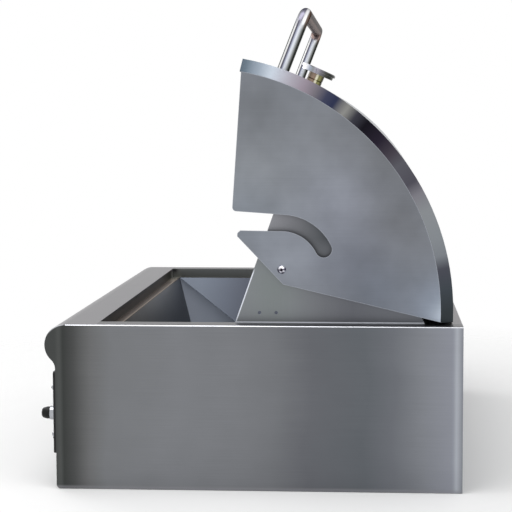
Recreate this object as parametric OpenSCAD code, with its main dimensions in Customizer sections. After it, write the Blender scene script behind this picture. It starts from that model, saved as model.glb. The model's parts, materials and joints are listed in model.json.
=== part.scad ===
// Built-in gas grill with a quarter-round hood, three burners and a drip-tray drawer.
// X runs to the user's right, Y from the front to the back and Z up.
// The origin is the middle of the cabinet's underside.
// Heights called drops are measured down from the rim, and setbacks back from the front plane.

/* [Cabinet] */
// Width over the two side panels
body_w = 760; // [740:10:1000]
// Depth from the front plane to the rear panel
body_d = 606; // [590:2:700]
// Height from the underside to the rim
body_h = 248; // [236:2:300]
// Thickness of the stainless sheet
sheet_t = 1.5; // [1:0.1:2]
// Outer radius of the bullnose along the top front edge
bull_r = 31; // [28:1:34]
// Distance that the bullnose stands proud of the front plane
bull_out = 15.5; // [12:0.5:20]
// Radius of the hollow that leads from the bullnose to the front plane
bull_hollow_r = 18; // [14:1:22]
// Radius of the side panels' lower front corner
foot_r = 6; // [3:1:10]
// Outer radius of the folds along the top of the side panels
fold_r = 3; // [2.2:0.2:4]
// Width of the flat front rim
front_rim_w = 62; // [60:1:80]
// Width of the flat side rims
side_rim_w = 31; // [26:1:40]
// Depth of the lip that hangs from the rims' inner edges
lip_h = 17; // [14:1:24]
// Width of the rear deck, front to back
deck_w = 56; // [46:2:66]

/* [Firebox] */
// Width of the ledge between the front rim and the hopper
ledge_w = 15; // [10:1:22]
// Height of the sloping hopper walls
hopper_h = 103; // [98:1:106]
// Inward run of a hopper wall for each unit that it drops
hopper_run_share = 0.497; // [0.4:0.001:0.56]
// Run of the corner facets' creases for each unit that they drop
crease_run_share = 1.406; // [1.3:0.001:1.5]
// Height of the box under the hopper
burner_box_h = 55; // [48:1:58]
// Width of the drain opening in the box's floor
drain_w = 260; // [200:10:300]
// Depth of the drain opening, front to back
drain_d = 220; // [160:10:240]
// Diameter of a grate rod
rod_d = 8; // [6:0.5:9]
// Clear gap between neighbouring grate rods
rod_gap = 12; // [9:0.5:16]
// Width of the ledge that the grates rest on
grate_ledge_w = 12; // [10:1:16]
// Width of a heat tent over its burner
tent_w = 76; // [64:2:80]
// Rise of a heat tent from its edges to its ridge
tent_rise = 16; // [12:1:17]

/* [Gas train] */
// Drop from the rim to the knobs' and burners' centres
control_drop = 142; // [138:1:144]
// Distance from the outer burners to the ends of the firebox's flat front wall
burner_inset = 38; // [32:1:50]
// Outer diameter of a burner tube
burner_d = 22; // [18:1:24]
// Wall of a burner tube
burner_wall = 1.2; // [0.8:0.1:2]
// Diameter of a burner port
port_d = 2.4; // [1.6:0.2:3]
// Distance between neighbouring burner ports
port_pitch = 14; // [10:1:20]
// Outer diameter of the manifold pipe
pipe_d = 21.3; // [17:0.1:22]
// Wall of the manifold pipe
pipe_wall = 2.6; // [2:0.1:3.2]

/* [Control panel] */
// Height of the black panel
panel_h = 124; // [110:1:128]
// Drop from the rim to the panel's upper edge
panel_drop = 72; // [69:0.5:74]
// Distance that the panel stands proud of the front plane
panel_out = 4.5; // [3:0.5:6]
// Gap between the panel's ends and the cabinet's sides
panel_end_gap = 4; // [2:1:12]
// Diameter of a knob's skirt
knob_d = 50; // [40:1:52]
// Height of a knob above its skirt's rear face
knob_h = 22; // [18:1:26]
// Travel of a knob when it is pushed in
knob_travel = 4; // [3:0.5:5]
// Diameter of a valve stem
stem_d = 8; // [6:0.5:9]
// Setback of the igniter button from the right-hand side of the cabinet
igniter_inset = 40; // [30:1:60]
// Diameter of the igniter's chrome collar
collar_d = 21; // [19:0.5:24]
// Travel of the igniter button
igniter_travel = 5; // [3:0.5:6]

/* [Drip tray] */
// Distance from the cabinet's sides to the ends of the tray's front plate
tray_side_gap = 60; // [50:5:100]
// Distance that the front plate runs past the tray's sides
tray_front_over = 40; // [30:2:60]
// Distance from the tray's back to the cabinet's back
tray_back_gap = 104.5; // [60:0.5:160]
// Depth of the drip tray
tray_h = 34; // [24:1:36]
// Height of the tray's front plate
tray_front_h = 42; // [40:1:44]
// Width of the flange along each side of the tray
tray_flange_w = 12; // [9:1:16]

/* [Hood] */
// Angle that the hood stands open in the photograph
hood_open = 94; // [90:1:95]
// Setback of the shut hood's lip
lip_setback = 31.33; // [28:0.01:36]
// Distance from the open hood's rearmost point to the cabinet's back
hood_back_gap = 13.7; // [8:0.1:20]
// Height of the open hood's rear edge above the rim, which the pivots' height follows
rest_rise = 2.86; // [1.6:0.02:6]
// Distance of the skin's centre behind the pivots
arc_back = 71; // [67:1:74]
// Distance of the skin's centre below the pivots
arc_down = 121; // [117:1:124]
// Distance from the cabinet's side to the hood's side plate
hood_inset = 16; // [14:0.5:18]
// Gap between the closed hood and the rim
hood_gap = 2.5; // [2:0.1:4]
// Width of the polished bevel between the skin and a side plate
bevel_w = 19; // [14:1:24]
// Distance that the bevel leans in across the hood's width
bevel_lean = 12; // [8:1:16]
// Depth of the flange along the skin's front edge
skin_lip_w = 24; // [16:1:30]
// Depth of the flange along the skin's rear edge
skin_back_w = 18; // [12:1:20]
// Outer radius of the curved slot about the pivots
slot_outer_r = 81.5; // [80:0.5:86]
// Inner radius of the curved slot about the pivots
slot_inner_r = 57; // [54:0.5:60]
// Angle from level that the curved slot climbs to
slot_climb = 60; // [50:1:64]

/* [Handle and thermometer] */
// Diameter of the handle's tube
handle_d = 19.5; // [16:0.5:22]
// Distance from the skin to the middle of the handle's bar
handle_reach = 96.5; // [84:0.5:110]
// Distance from the hood's side to a handle post
handle_inset = 151; // [120:1:180]
// Bend radius of the handle at the tube's centreline
handle_bend_r = 19.5; // [16:0.5:26]
// Angle along the skin at which the handle's posts stand
handle_at = 14; // [13:0.5:15]
// Angle of the posts above level when the hood is shut
handle_pitch = 17.5; // [15:0.5:20]
// Diameter of the thermometer's bezel
gauge_d = 62; // [54:1:64]
// Thickness of the thermometer's case
gauge_h = 10; // [9:0.5:13]
// Angle along the skin at which the thermometer stands
gauge_at = 20; // [19.5:0.5:23]
// Length of the brass boss under the thermometer
boss_h = 17; // [14:0.5:22]
// Diameter of the brass boss
boss_d = 28; // [22:1:32]

/* [Uprights] */
// Distance from the pivots forward to the uprights' front edge at the rim
upright_foot = 71.4; // [66:0.2:76]
// Lean of the uprights' front edge for each unit of height
upright_lean_share = 0.3555; // [0.34:0.005:0.36]
// Clearance between the uprights' upper rear corner and the skin as it swings
crown_gap = 5.1; // [4:0.1:12]
// Angle from upright at which that corner stands over the pivots
crown_angle = 13.9; // [12:0.1:16]
// Distance between the two bracket holes of an upright
bracket_pitch = 25; // [20:1:30]
// Diameter of a bracket hole
bracket_hole_d = 5.2; // [4:0.2:6]
// Distance from the pivots forward to the bracket holes' middle
bracket_forward = 22; // [16:1:28]
// Height of the bracket holes above the rim
bracket_rise = 15; // [10:1:20]

/* [Hidden] */
$fn = 96;

// Overrun that clears a cut's faces
over = 1;
// Gap between pieces that lie against each other but aren't joined
seat = 0.3;
// Radial clearance of a shaft or pin that turns or slides in its bore
run = 0.05;
// Radial clearance of a screw or stud in its hole
hole_play = 0.1;

// Cabinet
front_y = -body_d / 2;
back_y = body_d / 2;
rim_z = body_h;
side_x = body_w / 2;
wall_x = side_x - sheet_t;
lip_x = side_x - side_rim_w;
rim_y = front_y + front_rim_w;
deck_setback = body_d - deck_w;
deck_y = front_y + deck_setback;
// Cut-outs in the fascia behind the panel
stem_hole_r = stem_d / 2 + 2 * sheet_t;
// Distance of the tray opening's edge from the tray's front plate
tray_gap = 1;
// Gap under the tray's front plate
tray_foot = 5;
tray_open_z = tray_foot + tray_front_h + tray_gap;
tray_front_w = body_w - 2 * tray_side_gap;
tray_w = tray_front_w - 2 * tray_front_over;
tray_l = body_d - sheet_t - tray_back_gap;
// Louvre slots of the rear panel
louvre_w = 46;
louvre_h = 5;
louvre_rows = 3;
louvre_pitch_z = 16;
louvre_pitch_x = 68;
louvre_edge = 60;
louvre_n = floor(2 * (wall_x - louvre_edge) / louvre_pitch_x);
louvre_z = 110;

// Hopper and burner box
hopper_top_z = rim_z - lip_h - sheet_t;
hopper_z = rim_z - lip_h - hopper_h;
hopper_x = lip_x - 2 * sheet_t;
hopper_front = rim_y + ledge_w;
hopper_back = deck_y - 2 * sheet_t;
hopper_in = hopper_h * hopper_run_share;
facet_leg = hopper_h * (crease_run_share - hopper_run_share);
// Thickness of the two slices that a hopper solid spans
slice_t = sheet_t / 10;
// The hopper's lower opening
pit_x = hopper_x - hopper_in;
pit_front = hopper_front + hopper_in;
pit_back = hopper_back - hopper_in;
pit_mid = (pit_front + pit_back) / 2;
box_floor_z = hopper_z - burner_box_h;
// Lip round the drain opening
drain_lip_h = 8;

// Grates
grate_n = 3;
grate_gap = 3;
grate_z = hopper_z + seat + rod_d / 2;
// Gap between the grates and the hopper's foot
grate_edge_gap = 2;
grate_side = pit_x - grate_edge_gap;
rod_pitch = rod_d + rod_gap;

// Gas train
control_z = rim_z - control_drop;
burner_pitch = pit_x - facet_leg - burner_inset;
burner_x = [-burner_pitch, 0, burner_pitch];
valve_w = 30;
valve_l = 34;
valve_h = 26;
valve_setback = 14;
stem_reach = 20;
jet_d = 8;
jet_l = 12;
spud_d = 14;
spud_l = 8;
bell_d = 32;
bell_l = 12;
bell_taper_l = 12;
bell_overlap = 6;
valve_back = front_y + valve_setback + valve_l;
jet_end = valve_back + spud_l + jet_l;
bell_y = jet_end - bell_overlap;
// Gap between a burner's end cap and the box's rear wall
burner_end_gap = 16;
burner_end = pit_back - burner_end_gap;
saddle_d = 16;
pipe_gap = 4;
pipe_y = front_y + valve_setback + valve_l / 2;
pipe_z = control_z + valve_h / 2 + pipe_gap + pipe_d / 2;
pipe_left = -lip_x + pipe_d;
pipe_right = burner_pitch + valve_w;
inlet_d = 21.3;
inlet_l = 20;
inlet_bore_d = 15;
inlet_hex = 30;
inlet_hex_l = 8;
inlet_neck_l = 6;
inlet_neck_d = 20;

// Heat tents
tent_t = 1.2;
tent_gap = 3.2;
tent_z = hopper_z - tent_gap - tent_rise;
tent_end_gap = 8;
tent_front = pit_front + tent_end_gap;
tent_back = pit_back - tent_end_gap;
tent_rail_w = 14;

// Control panel
panel_x = side_x - panel_end_gap;
panel_z = rim_z - panel_drop - panel_h;
panel_face = front_y - panel_out;
panel_corner_r = 4;
screw_head_d = 9;
screw_head_h = 5;
screw_d = 4;
screw_l = 9;
screw_inset = 12;
screw_edge = 26;
screw_cols = [-(panel_x - screw_inset), -burner_pitch / 2, burner_pitch / 2, panel_x - screw_inset];
screw_rows = [panel_z + screw_edge, panel_z + panel_h - screw_edge];
bezel_d = 54;
bezel_h = 3;
knob_gap = 0.5;
knob_back = panel_face - bezel_h - knob_travel - knob_gap;
knob_skirt_h = 8;
knob_grip_w = 13;
knob_body_d = 38;
stem_in_knob = 14;
stem_collar_d = 12;
stem_collar_l = 2;
washer_d = 20;
washer_t = 1.5;
washer_setback = 4.5;
washer_y = front_y + washer_setback;

// Igniter
igniter_x = side_x - igniter_inset;
collar_h = 12.5;
collar_flange_d = 24;
collar_flange_h = 2.5;
collar_wall = 1;
button_h = 14;
button_gap = 0.3;
button_r = collar_d / 2 - collar_wall - button_gap;
button_taper = 1.6;
button_tip_r = button_r - button_taper;
button_round = 1.5;
plunger_d = 8;
barrel_d = 13;
barrel_setback = 8.5;
barrel_end = front_y + barrel_setback;
module_d = 24;
module_l = 52;
electrode_d = 6;
electrode_tip_d = 2.4;
electrode_out = 14;
electrode_in = 26;
electrode_tip_l = 14;
electrode_side = 17;

// Drip tray
tray_t = 1.2;
tray_flange_z = tray_foot + tray_h + tray_t;
tray_lift = 3;
tray_y = front_y + sheet_t;
runner_t = 1.5;
runner_gap = 0.4;
runner_x = tray_w / 2 + tray_flange_w + runner_gap;
runner_ledge_w = 9;
// Distance by which the runners stop short of the tray's back
runner_short = 10;
runner_l = tray_l - runner_short;
pull_w = 120;
pull_out = 18;
pull_lip_h = 9;
pull_drop = 9;

// Hood, in its own frame: pivots at zero, shut
hood_x = side_x - hood_inset;
skin_x = hood_x - bevel_lean;
// Distance from the skin's rear edge to the skin's centre
rear_short = 10;
hood_rear = arc_back - rear_short;
// The skin's two reaches, from the shut lip and from the open back, to its centre
reach_sum = body_d - lip_setback - hood_back_gap + arc_back * (1 - cos(hood_open)) + arc_down * sin(hood_open);
// Half the reaches' sum stands in for the skin's radius here, which lies within 2 mm of it
pivot_rise = rest_rise + hood_rear * sin(hood_open) - (reach_sum / 2 - arc_down) * cos(hood_open);
pivot_z = rim_z + pivot_rise;
hood_floor = hood_gap - pivot_rise;
// Height of the lip over the skin's centre
lip_rise = arc_down + hood_floor;
hood_r = (reach_sum * reach_sum + lip_rise * lip_rise) / (2 * reach_sum);
pivot_setback = lip_setback - arc_back + sqrt(hood_r * hood_r - lip_rise * lip_rise);
pivot_y = front_y + pivot_setback;
skin_start = asin(lip_rise / hood_r);
skin_end = acos((arc_back - hood_rear) / hood_r);
skin_top = hood_r * sin(skin_end) - arc_down;
lip_corner_r = 6;
// Slot mouth and nose of a side plate
mouth_flare = 3.5;
nose_rise = 10;
nose_flat = 9;
nose_r = 4;
heel_y = 21.9;
heel_z = 3.7;
// Drop from the skin's top to the side plates' rear corner
rear_top_drop = 16.9;
rear_top_z = skin_top - rear_top_drop;

// Uprights
upright_x = lip_x - sheet_t;
// Radius about the pivots that the skin leaves free as it swings
free_r = hood_r - sheet_t - norm([arc_back, arc_down]);
upright_setback = pivot_setback - upright_foot;
upright_top_rise = 2;
upright_h = pivot_rise + (free_r - crown_gap) * cos(crown_angle) - upright_top_rise;
upright_top_setback = pivot_setback + (free_r - crown_gap) * sin(crown_angle);
upright_top_front = upright_setback + upright_lean_share * upright_h;
cap_lip_h = 14;
vent_w = 52;
vent_h = 7;
vent_pitch = 80;
vent_edge = 20;
vent_n = floor(2 * (upright_x - vent_edge) / vent_pitch);
vent_drop_share = 0.14;

// Pivots
bush_d = 10;
bush_flange_d = 22;
pivot_screw_d = 6;
pivot_head_d = 13;
pivot_head_h = 4.5;
socket_d = 4;
socket_h = 2.5;
pivot_nut_d = 14;
pivot_nut_h = 5;

// Bumpers and stops
bumper_d = 12;
bumper_inset = 12;
bumper_x = [-skin_x + bumper_inset, -skin_x / 3, skin_x / 3, skin_x - bumper_inset];
stop_d = 12;
stop_x = [-skin_x / 2, skin_x / 2];
// Distance from the open skin's rear edge to the stops' middle
stop_inset = 9;
stop_y = hood_rear * cos(hood_open) + skin_top * sin(hood_open) - stop_inset;

// Handle
handle_x = hood_x - handle_inset;
handle_turn = 90 - handle_pitch;
stud_d = 8;
stud_l = 20;
handle_nut_d = 15;
handle_nut_h = 6;
handle_washer_d = 16;
handle_washer_h = 2;

// Thermometer
gauge_step = 2.5;
gauge_body_d = gauge_d - 2 * gauge_step;
gauge_wall = 1.5;
bezel_step_h = 5;
dial_t = 0.8;
dial_d = gauge_body_d - 2 * gauge_wall - 2 * run;
glass_t = 1.5;
glass_drop = 1.5;
needle_l = 20;
needle_tail = 8;
needle_w = 1.8;
needle_t = 0.7;
needle_gap = 1.4;
// Turn from straight up to the cold end of the scale
needle_rest = 135;
hub_d = 6;
spindle_d = 1.6;
probe_d = 6;
probe_l = 60;
probe_thread_d = 10;
probe_nut_d = 18;
probe_nut_h = 5;

steel = [0.62, 0.63, 0.65];
dark_steel = [0.45, 0.46, 0.48];
bright = [0.8, 0.81, 0.83];
black = [0.05, 0.05, 0.055];
brass = [0.72, 0.58, 0.28];

// Direction of an outline's stretch i, as a unit vector
function run_dir(p, i) = (p[i + 1] - p[i]) / norm(p[i + 1] - p[i]);
function left_of(v) = [-v[1], v[0]];
// Offset of an outline's point i by t to its left, mitred at the bends
function mitre(p, i, t) = i == 0 ? t * left_of(run_dir(p, 0))
    : i == len(p) - 1 ? t * left_of(run_dir(p, i - 1))
    : t * (left_of(run_dir(p, i - 1)) + left_of(run_dir(p, i))) / (1 + run_dir(p, i - 1) * run_dir(p, i));
// Outline of a bent sheet of thickness t to the left of the path p
function bent(p, t) = concat(p, [for (i = [len(p) - 1:-1:0]) p[i] + mitre(p, i, t)]);

// Extrudes an outline drawn in Y and Z along X, from x by length l
module along_x(x, l) { translate([x, 0, 0]) rotate([90, 0, 90]) linear_extrude(l) children(); }
// Same on both sides of the middle
module across(half) { along_x(-half, 2 * half) children(); }
// Extrudes an outline drawn in X and Z along Y, from y by length l
module along_y(y, l) { translate([0, y + l, 0]) rotate([90, 0, 0]) linear_extrude(l) children(); }
// A box given by its low and high corners
module block(a, b) { translate(a) cube(b - a); }
// A cylinder along Y from y by length l
module rod_y(d, x, y, z, l) { translate([x, y, z]) rotate([-90, 0, 0]) cylinder(d = d, h = l); }
// A cylinder along X from x by length l
module rod_x(d, x, y, z, l) { translate([x, y, z]) rotate([0, 90, 0]) cylinder(d = d, h = l); }
// A domed disc standing on z = 0
module dome(d, h) {
    r = (d * d / 4 + h * h) / (2 * h);
    rotate_extrude() intersection() {
        translate([0, h - r]) circle(r);
        square([d / 2, h]);
    }
}
// A rounded rectangle from a low corner
module round_rect(x, y, w, h, r) {
    translate([x + r, y]) square([w - 2 * r, h]);
    translate([x, y + r]) square([w, h - 2 * r]);
    for (i = [x + r, x + w - r], j = [y + r, y + h - r]) translate([i, j]) circle(r);
}

// Cabinet's side view, drawn in by inset on every outer edge
hollow_dz = sqrt(pow(bull_r + bull_hollow_r, 2) - pow(bull_r - bull_out + bull_hollow_r, 2));
bull_y = front_y - bull_out + bull_r;
bull_z = rim_z - bull_r;
hollow_z = bull_z - hollow_dz;
module side_view(inset) {
    bull_touch = bull_hollow_r / (bull_r + bull_hollow_r);
    touch_y = bull_y - (bull_y - front_y + bull_hollow_r) * (1 - bull_touch);
    touch_z = bull_z - hollow_dz * (1 - bull_touch);
    difference() {
        union() {
            translate([bull_y, bull_z]) circle(bull_r - inset);
            translate([front_y + inset, inset + foot_r]) square([body_d - 2 * inset, bull_z - inset - foot_r]);
            translate([front_y + foot_r, inset]) square([body_d - foot_r - inset, foot_r]);
            translate([front_y + foot_r, foot_r]) circle(foot_r - inset);
            translate([bull_y, bull_z - over]) square([back_y - bull_y - inset, rim_z - bull_z + over - inset]);
            polygon([[front_y, hollow_z], [touch_y, touch_z], [bull_y, bull_z], [bull_y, hollow_z]]);
        }
        translate([front_y - bull_hollow_r, hollow_z]) circle(bull_hollow_r + inset);
    }
}

module side_panel(s) {
    color(steel) scale([s, 1, 1]) difference() {
        union() {
            along_x(wall_x, sheet_t) side_view(0);
            block([lip_x, rim_y, rim_z - sheet_t], [side_x, back_y, rim_z]);
            block([lip_x, rim_y, rim_z - lip_h], [lip_x + sheet_t, deck_y, rim_z]);
        }
        difference() {
            block([side_x - fold_r, bull_y, rim_z - fold_r], [side_x + over, back_y + over, rim_z + over]);
            rod_y(2 * fold_r, side_x - fold_r, bull_y - over, rim_z - fold_r, body_d);
        }
    }
}
module front_fascia() {
    color(steel) difference() {
        union() {
            across(wall_x) difference() {
                intersection() {
                    side_view(0);
                    translate([front_y - bull_out - over, sheet_t])
                        square([front_rim_w + bull_out + over, rim_z]);
                }
                side_view(sheet_t);
                translate([front_y + foot_r, 0]) square([body_d, tray_open_z]);
            }
            block([-lip_x, rim_y - sheet_t, rim_z - lip_h], [lip_x, rim_y, rim_z]);
        }
        block([-tray_front_w / 2 - tray_gap, front_y - over, -over],
            [tray_front_w / 2 + tray_gap, front_y + foot_r + over, tray_open_z]);
        for (x = burner_x) rod_y(2 * stem_hole_r, x, front_y - over, control_z, sheet_t + 2 * over);
        rod_y(barrel_d + 2 * hole_play, igniter_x, front_y - over, control_z, sheet_t + 2 * over);
        for (x = screw_cols, z = screw_rows)
            rod_y(screw_d + 2 * hole_play, x, front_y - over, z, sheet_t + 2 * over);
    }
}
module rear_panel() {
    color(dark_steel) difference() {
        block([-wall_x, back_y - sheet_t, sheet_t], [wall_x, back_y, rim_z - sheet_t]);
        rod_y(inlet_d + 2 * hole_play, pipe_left, back_y - sheet_t - over, pipe_z, sheet_t + 2 * over);
        for (i = [0:louvre_n - 1], j = [0:louvre_rows - 1])
            if (abs((i - (louvre_n - 1) / 2) * louvre_pitch_x - pipe_left) > louvre_w)
                translate([(i - (louvre_n - 1) / 2) * louvre_pitch_x, 0, louvre_z + j * louvre_pitch_z])
                    block([-louvre_w / 2, back_y - sheet_t - over, -louvre_h / 2],
                        [louvre_w / 2, back_y + over, louvre_h / 2]);
    }
}
module base_pan() {
    color(dark_steel) block([-wall_x, front_y + foot_r, 0], [wall_x, back_y, sheet_t]);
}
module rear_deck() {
    color(steel) {
        block([-lip_x, deck_y, rim_z - sheet_t], [lip_x, back_y, rim_z]);
        block([-lip_x, deck_y, rim_z - lip_h], [lip_x, deck_y + sheet_t, rim_z - sheet_t]);
    }
}

// Horizontal outline of the hopper at a depth d below its top, grown outwards by g
function hopper_outline(d, g) = let (
    x = hopper_x - d * hopper_run_share + g,
    a = hopper_front + d * hopper_run_share - g,
    b = hopper_back - d * hopper_run_share + g,
    c = max(d, slice_t) * (crease_run_share - hopper_run_share))
    [[-x + c, a], [x - c, a], [x, a + c], [x, b - c], [x - c, b], [-x + c, b], [-x, b - c], [-x, a + c]];
module hopper_solid(top, g) {
    hull() {
        translate([0, 0, top - slice_t]) linear_extrude(slice_t) polygon(hopper_outline(0, g));
        translate([0, 0, hopper_z]) linear_extrude(slice_t) polygon(hopper_outline(hopper_h, g));
    }
}
module firebox_hopper() {
    color(steel) difference() {
        union() {
            hopper_solid(hopper_top_z + sheet_t, sheet_t);
            block([-lip_x - sheet_t, rim_y - sheet_t, hopper_top_z],
                [lip_x + sheet_t, deck_y + sheet_t, hopper_top_z + sheet_t]);
        }
        hopper_solid(hopper_top_z + sheet_t, 0);
        translate([0, 0, hopper_z - over]) linear_extrude(2 * over) polygon(hopper_outline(hopper_h, 0));
        translate([0, 0, hopper_top_z + sheet_t / 2]) linear_extrude(sheet_t) polygon(hopper_outline(0, 0));
    }
}
module burner_box() {
    rail_z = tent_z - tent_t - seat;
    color(dark_steel) {
        difference() {
            translate([0, 0, box_floor_z]) linear_extrude(burner_box_h) polygon(hopper_outline(hopper_h, sheet_t));
            translate([0, 0, box_floor_z + sheet_t])
                linear_extrude(burner_box_h - 2 * sheet_t) polygon(hopper_outline(hopper_h, 0));
            translate([0, 0, hopper_z - sheet_t - over])
                linear_extrude(sheet_t + 2 * over) polygon(hopper_outline(hopper_h, -grate_ledge_w));
            block([-drain_w / 2, pit_mid - drain_d / 2, box_floor_z - over],
                [drain_w / 2, pit_mid + drain_d / 2, box_floor_z + 2 * sheet_t]);
            for (x = burner_x) {
                rod_y(burner_d + 2 * hole_play, x, pit_front - sheet_t - over, control_z, sheet_t + 2 * over);
                rod_y(electrode_d + 2 * hole_play, x + electrode_side, pit_front - sheet_t - over,
                    control_z, sheet_t + 2 * over);
            }
        }
        difference() {
            block([-drain_w / 2 - sheet_t, pit_mid - drain_d / 2 - sheet_t, box_floor_z - drain_lip_h],
                [drain_w / 2 + sheet_t, pit_mid + drain_d / 2 + sheet_t, box_floor_z + sheet_t / 2]);
            block([-drain_w / 2, pit_mid - drain_d / 2, box_floor_z - drain_lip_h - over],
                [drain_w / 2, pit_mid + drain_d / 2, box_floor_z + 2 * sheet_t]);
        }
        intersection() {
            translate([0, 0, rail_z - sheet_t]) linear_extrude(sheet_t)
                polygon(hopper_outline(hopper_h, sheet_t / 2));
            for (x = burner_x, s = [-1, 1], y = [pit_front - sheet_t, pit_back - tent_rail_w])
                translate([x + s * tent_w / 2 - tent_rail_w / 2, y, rail_z - sheet_t])
                    cube([tent_rail_w, tent_rail_w + sheet_t, sheet_t]);
        }
    }
}

module control_panel() {
    color(black) difference() {
        along_y(panel_face, panel_out) round_rect(-panel_x, panel_z, 2 * panel_x, panel_h, panel_corner_r);
        along_y(panel_face + sheet_t, panel_out)
            round_rect(-panel_x + sheet_t, panel_z + sheet_t, 2 * (panel_x - sheet_t), panel_h - 2 * sheet_t,
                panel_corner_r - sheet_t);
        for (x = burner_x) rod_y(2 * stem_hole_r, x, panel_face - over, control_z, sheet_t + 2 * over);
        rod_y(barrel_d + 2 * hole_play, igniter_x, panel_face - over, control_z, sheet_t + 2 * over);
        for (x = screw_cols, z = screw_rows)
            rod_y(screw_d + 2 * hole_play, x, panel_face - over, z, sheet_t + 2 * over);
    }
}
module panel_screws() {
    color(bright) for (x = screw_cols, z = screw_rows) translate([x, panel_face, z]) {
        rotate([90, 0, 0]) dome(screw_head_d, screw_head_h);
        rotate([-90, 0, 0]) cylinder(d = screw_d, h = screw_l);
    }
}
module knob_bezels() {
    lip = 1;
    color(bright) for (x = burner_x) translate([x, panel_face, control_z]) rotate([90, 0, 0])
        rotate_extrude() polygon([[knob_body_d / 2, 0], [bezel_d / 2, 0], [bezel_d / 2, bezel_h - lip],
            [bezel_d / 2 - lip, bezel_h], [knob_body_d / 2, bezel_h]]);
}
module burner_knob(x) {
    grip_h = knob_h - knob_skirt_h;
    flare = 2;
    color(black) translate([x, knob_back, control_z]) rotate([90, 0, 0]) difference() {
        union() {
            rotate_extrude() polygon([[0, 0], [knob_d / 2, 0], [knob_d / 2, flare], [knob_body_d / 2 + flare,
                knob_skirt_h - flare], [knob_body_d / 2, knob_skirt_h], [0, knob_skirt_h]]);
            intersection() {
                cylinder(d = knob_body_d, h = knob_h);
                translate([0, 0, knob_h / 2]) cube([knob_grip_w, knob_d, knob_h], center = true);
            }
        }
        translate([0, 0, -over]) cylinder(d = stem_d + 2 * run, h = stem_in_knob + over);
        translate([0, knob_body_d / 2, knob_h])
            cube([flare, knob_body_d / 2, flare], center = true);
    }
}
module valve_stem(x) {
    y0 = knob_back - stem_in_knob + hole_play;
    color(bright) {
        rod_y(stem_d, x, y0, control_z, front_y + valve_setback + stem_reach - y0);
        rod_y(stem_collar_d, x, washer_y - stem_collar_l - run, control_z, stem_collar_l);
    }
}
module stem_washer(x) {
    color(brass) difference() {
        rod_y(washer_d, x, washer_y, control_z, washer_t);
        rod_y(stem_d + 2 * run, x, washer_y - over, control_z, washer_t + 2 * over);
    }
}
module gas_valves() {
    y = front_y + valve_setback;
    color(brass) for (x = burner_x) difference() {
        union() {
            block([x - valve_w / 2, y, control_z - valve_h / 2],
                [x + valve_w / 2, y + valve_l, control_z + valve_h / 2]);
            rod_y(spud_d, x, valve_back - over, control_z, spud_l + over);
            rod_y(jet_d, x, valve_back, control_z, jet_end - valve_back);
            translate([x, pipe_y, control_z]) cylinder(d = saddle_d, h = pipe_z - control_z);
        }
        rod_y(stem_d + 2 * run, x, y - over, control_z, stem_reach + knob_travel + 2 * over);
        rod_x(pipe_d + 2 * hole_play, x - valve_w, pipe_y, pipe_z, 2 * valve_w);
    }
}
module gas_manifold() {
    bore = pipe_d - 2 * pipe_wall;
    color(dark_steel) difference() {
        union() {
            rod_x(pipe_d, pipe_left, pipe_y, pipe_z, pipe_right - pipe_left);
            translate([pipe_left, pipe_y, pipe_z]) sphere(d = pipe_d);
            rod_y(pipe_d, pipe_left, pipe_y, pipe_z, back_y - inlet_neck_l - inlet_hex_l - pipe_y);
        }
        rod_x(bore, pipe_left, pipe_y, pipe_z, pipe_right - pipe_left - pipe_wall);
        rod_y(bore, pipe_left, pipe_y, pipe_z, back_y - pipe_y);
    }
}
module gas_inlet() {
    y = back_y - inlet_neck_l - inlet_hex_l;
    color(brass) difference() {
        union() {
            translate([pipe_left, y, pipe_z]) rotate([-90, 0, 0]) cylinder(d = inlet_hex, h = inlet_hex_l, $fn = 6);
            rod_y(inlet_neck_d, pipe_left, y, pipe_z, inlet_hex_l + inlet_neck_l + over);
            rod_y(inlet_d, pipe_left, back_y, pipe_z, inlet_l);
        }
        rod_y(inlet_bore_d, pipe_left, y - over, pipe_z, body_d);
    }
}
module burner_tube(x) {
    r = burner_d / 2;
    w = burner_wall;
    l = burner_end - bell_y;
    ports = floor((l - bell_l - bell_taper_l - (pit_front - bell_y)) / port_pitch) - 1;
    color(dark_steel) difference() {
        union() {
            translate([x, bell_y, control_z]) rotate([-90, 0, 0]) rotate_extrude() polygon([
                [bell_d / 2 - w, 0], [bell_d / 2, 0], [bell_d / 2, bell_l], [r, bell_l + bell_taper_l], [r, l],
                [0, l], [0, l - w], [r - w, l - w], [r - w, bell_l + bell_taper_l], [bell_d / 2 - w, bell_l]]);
            block([x - r, burner_end - w / 2, control_z - w], [x + r, pit_back, control_z + w]);
        }
        for (i = [1:ports])
            rod_x(port_d, x - burner_d, pit_front + i * port_pitch, control_z + r / 3, 2 * burner_d);
    }
}
module heat_tent(x) {
    color(dark_steel) along_y(tent_front, tent_back - tent_front) polygon(bent([
        [x + tent_w / 2, tent_z], [x, tent_z + tent_rise], [x - tent_w / 2, tent_z]], tent_t));
}

// Front and rear ends of the grate area at a distance x from the middle
function grate_cut(x) = max(0, abs(x) - (grate_side - facet_leg)) + grate_edge_gap;
module cooking_grate(i) {
    span = 2 * grate_side / grate_n;
    x0 = -grate_side + i * span + grate_gap / 2;
    x1 = x0 + span - grate_gap;
    n = floor((x1 - x0 - rod_d) / rod_pitch);
    step = (x1 - x0 - rod_d) / n;
    color(dark_steel) {
        for (k = [0:n]) {
            x = x0 + rod_d / 2 + k * step;
            c = grate_cut(x) + rod_d / 2;
            rod_y(rod_d, x, pit_front + c, grate_z, pit_back - pit_front - 2 * c);
        }
        for (y = [pit_front + facet_leg + rod_d, pit_back - facet_leg - rod_d, pit_mid])
            block([x0 + rod_d / 2, y - rod_d / 2, grate_z - rod_d / 3],
                [x1 - rod_d / 2, y + rod_d / 2, grate_z + rod_d / 3]);
    }
}

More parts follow.
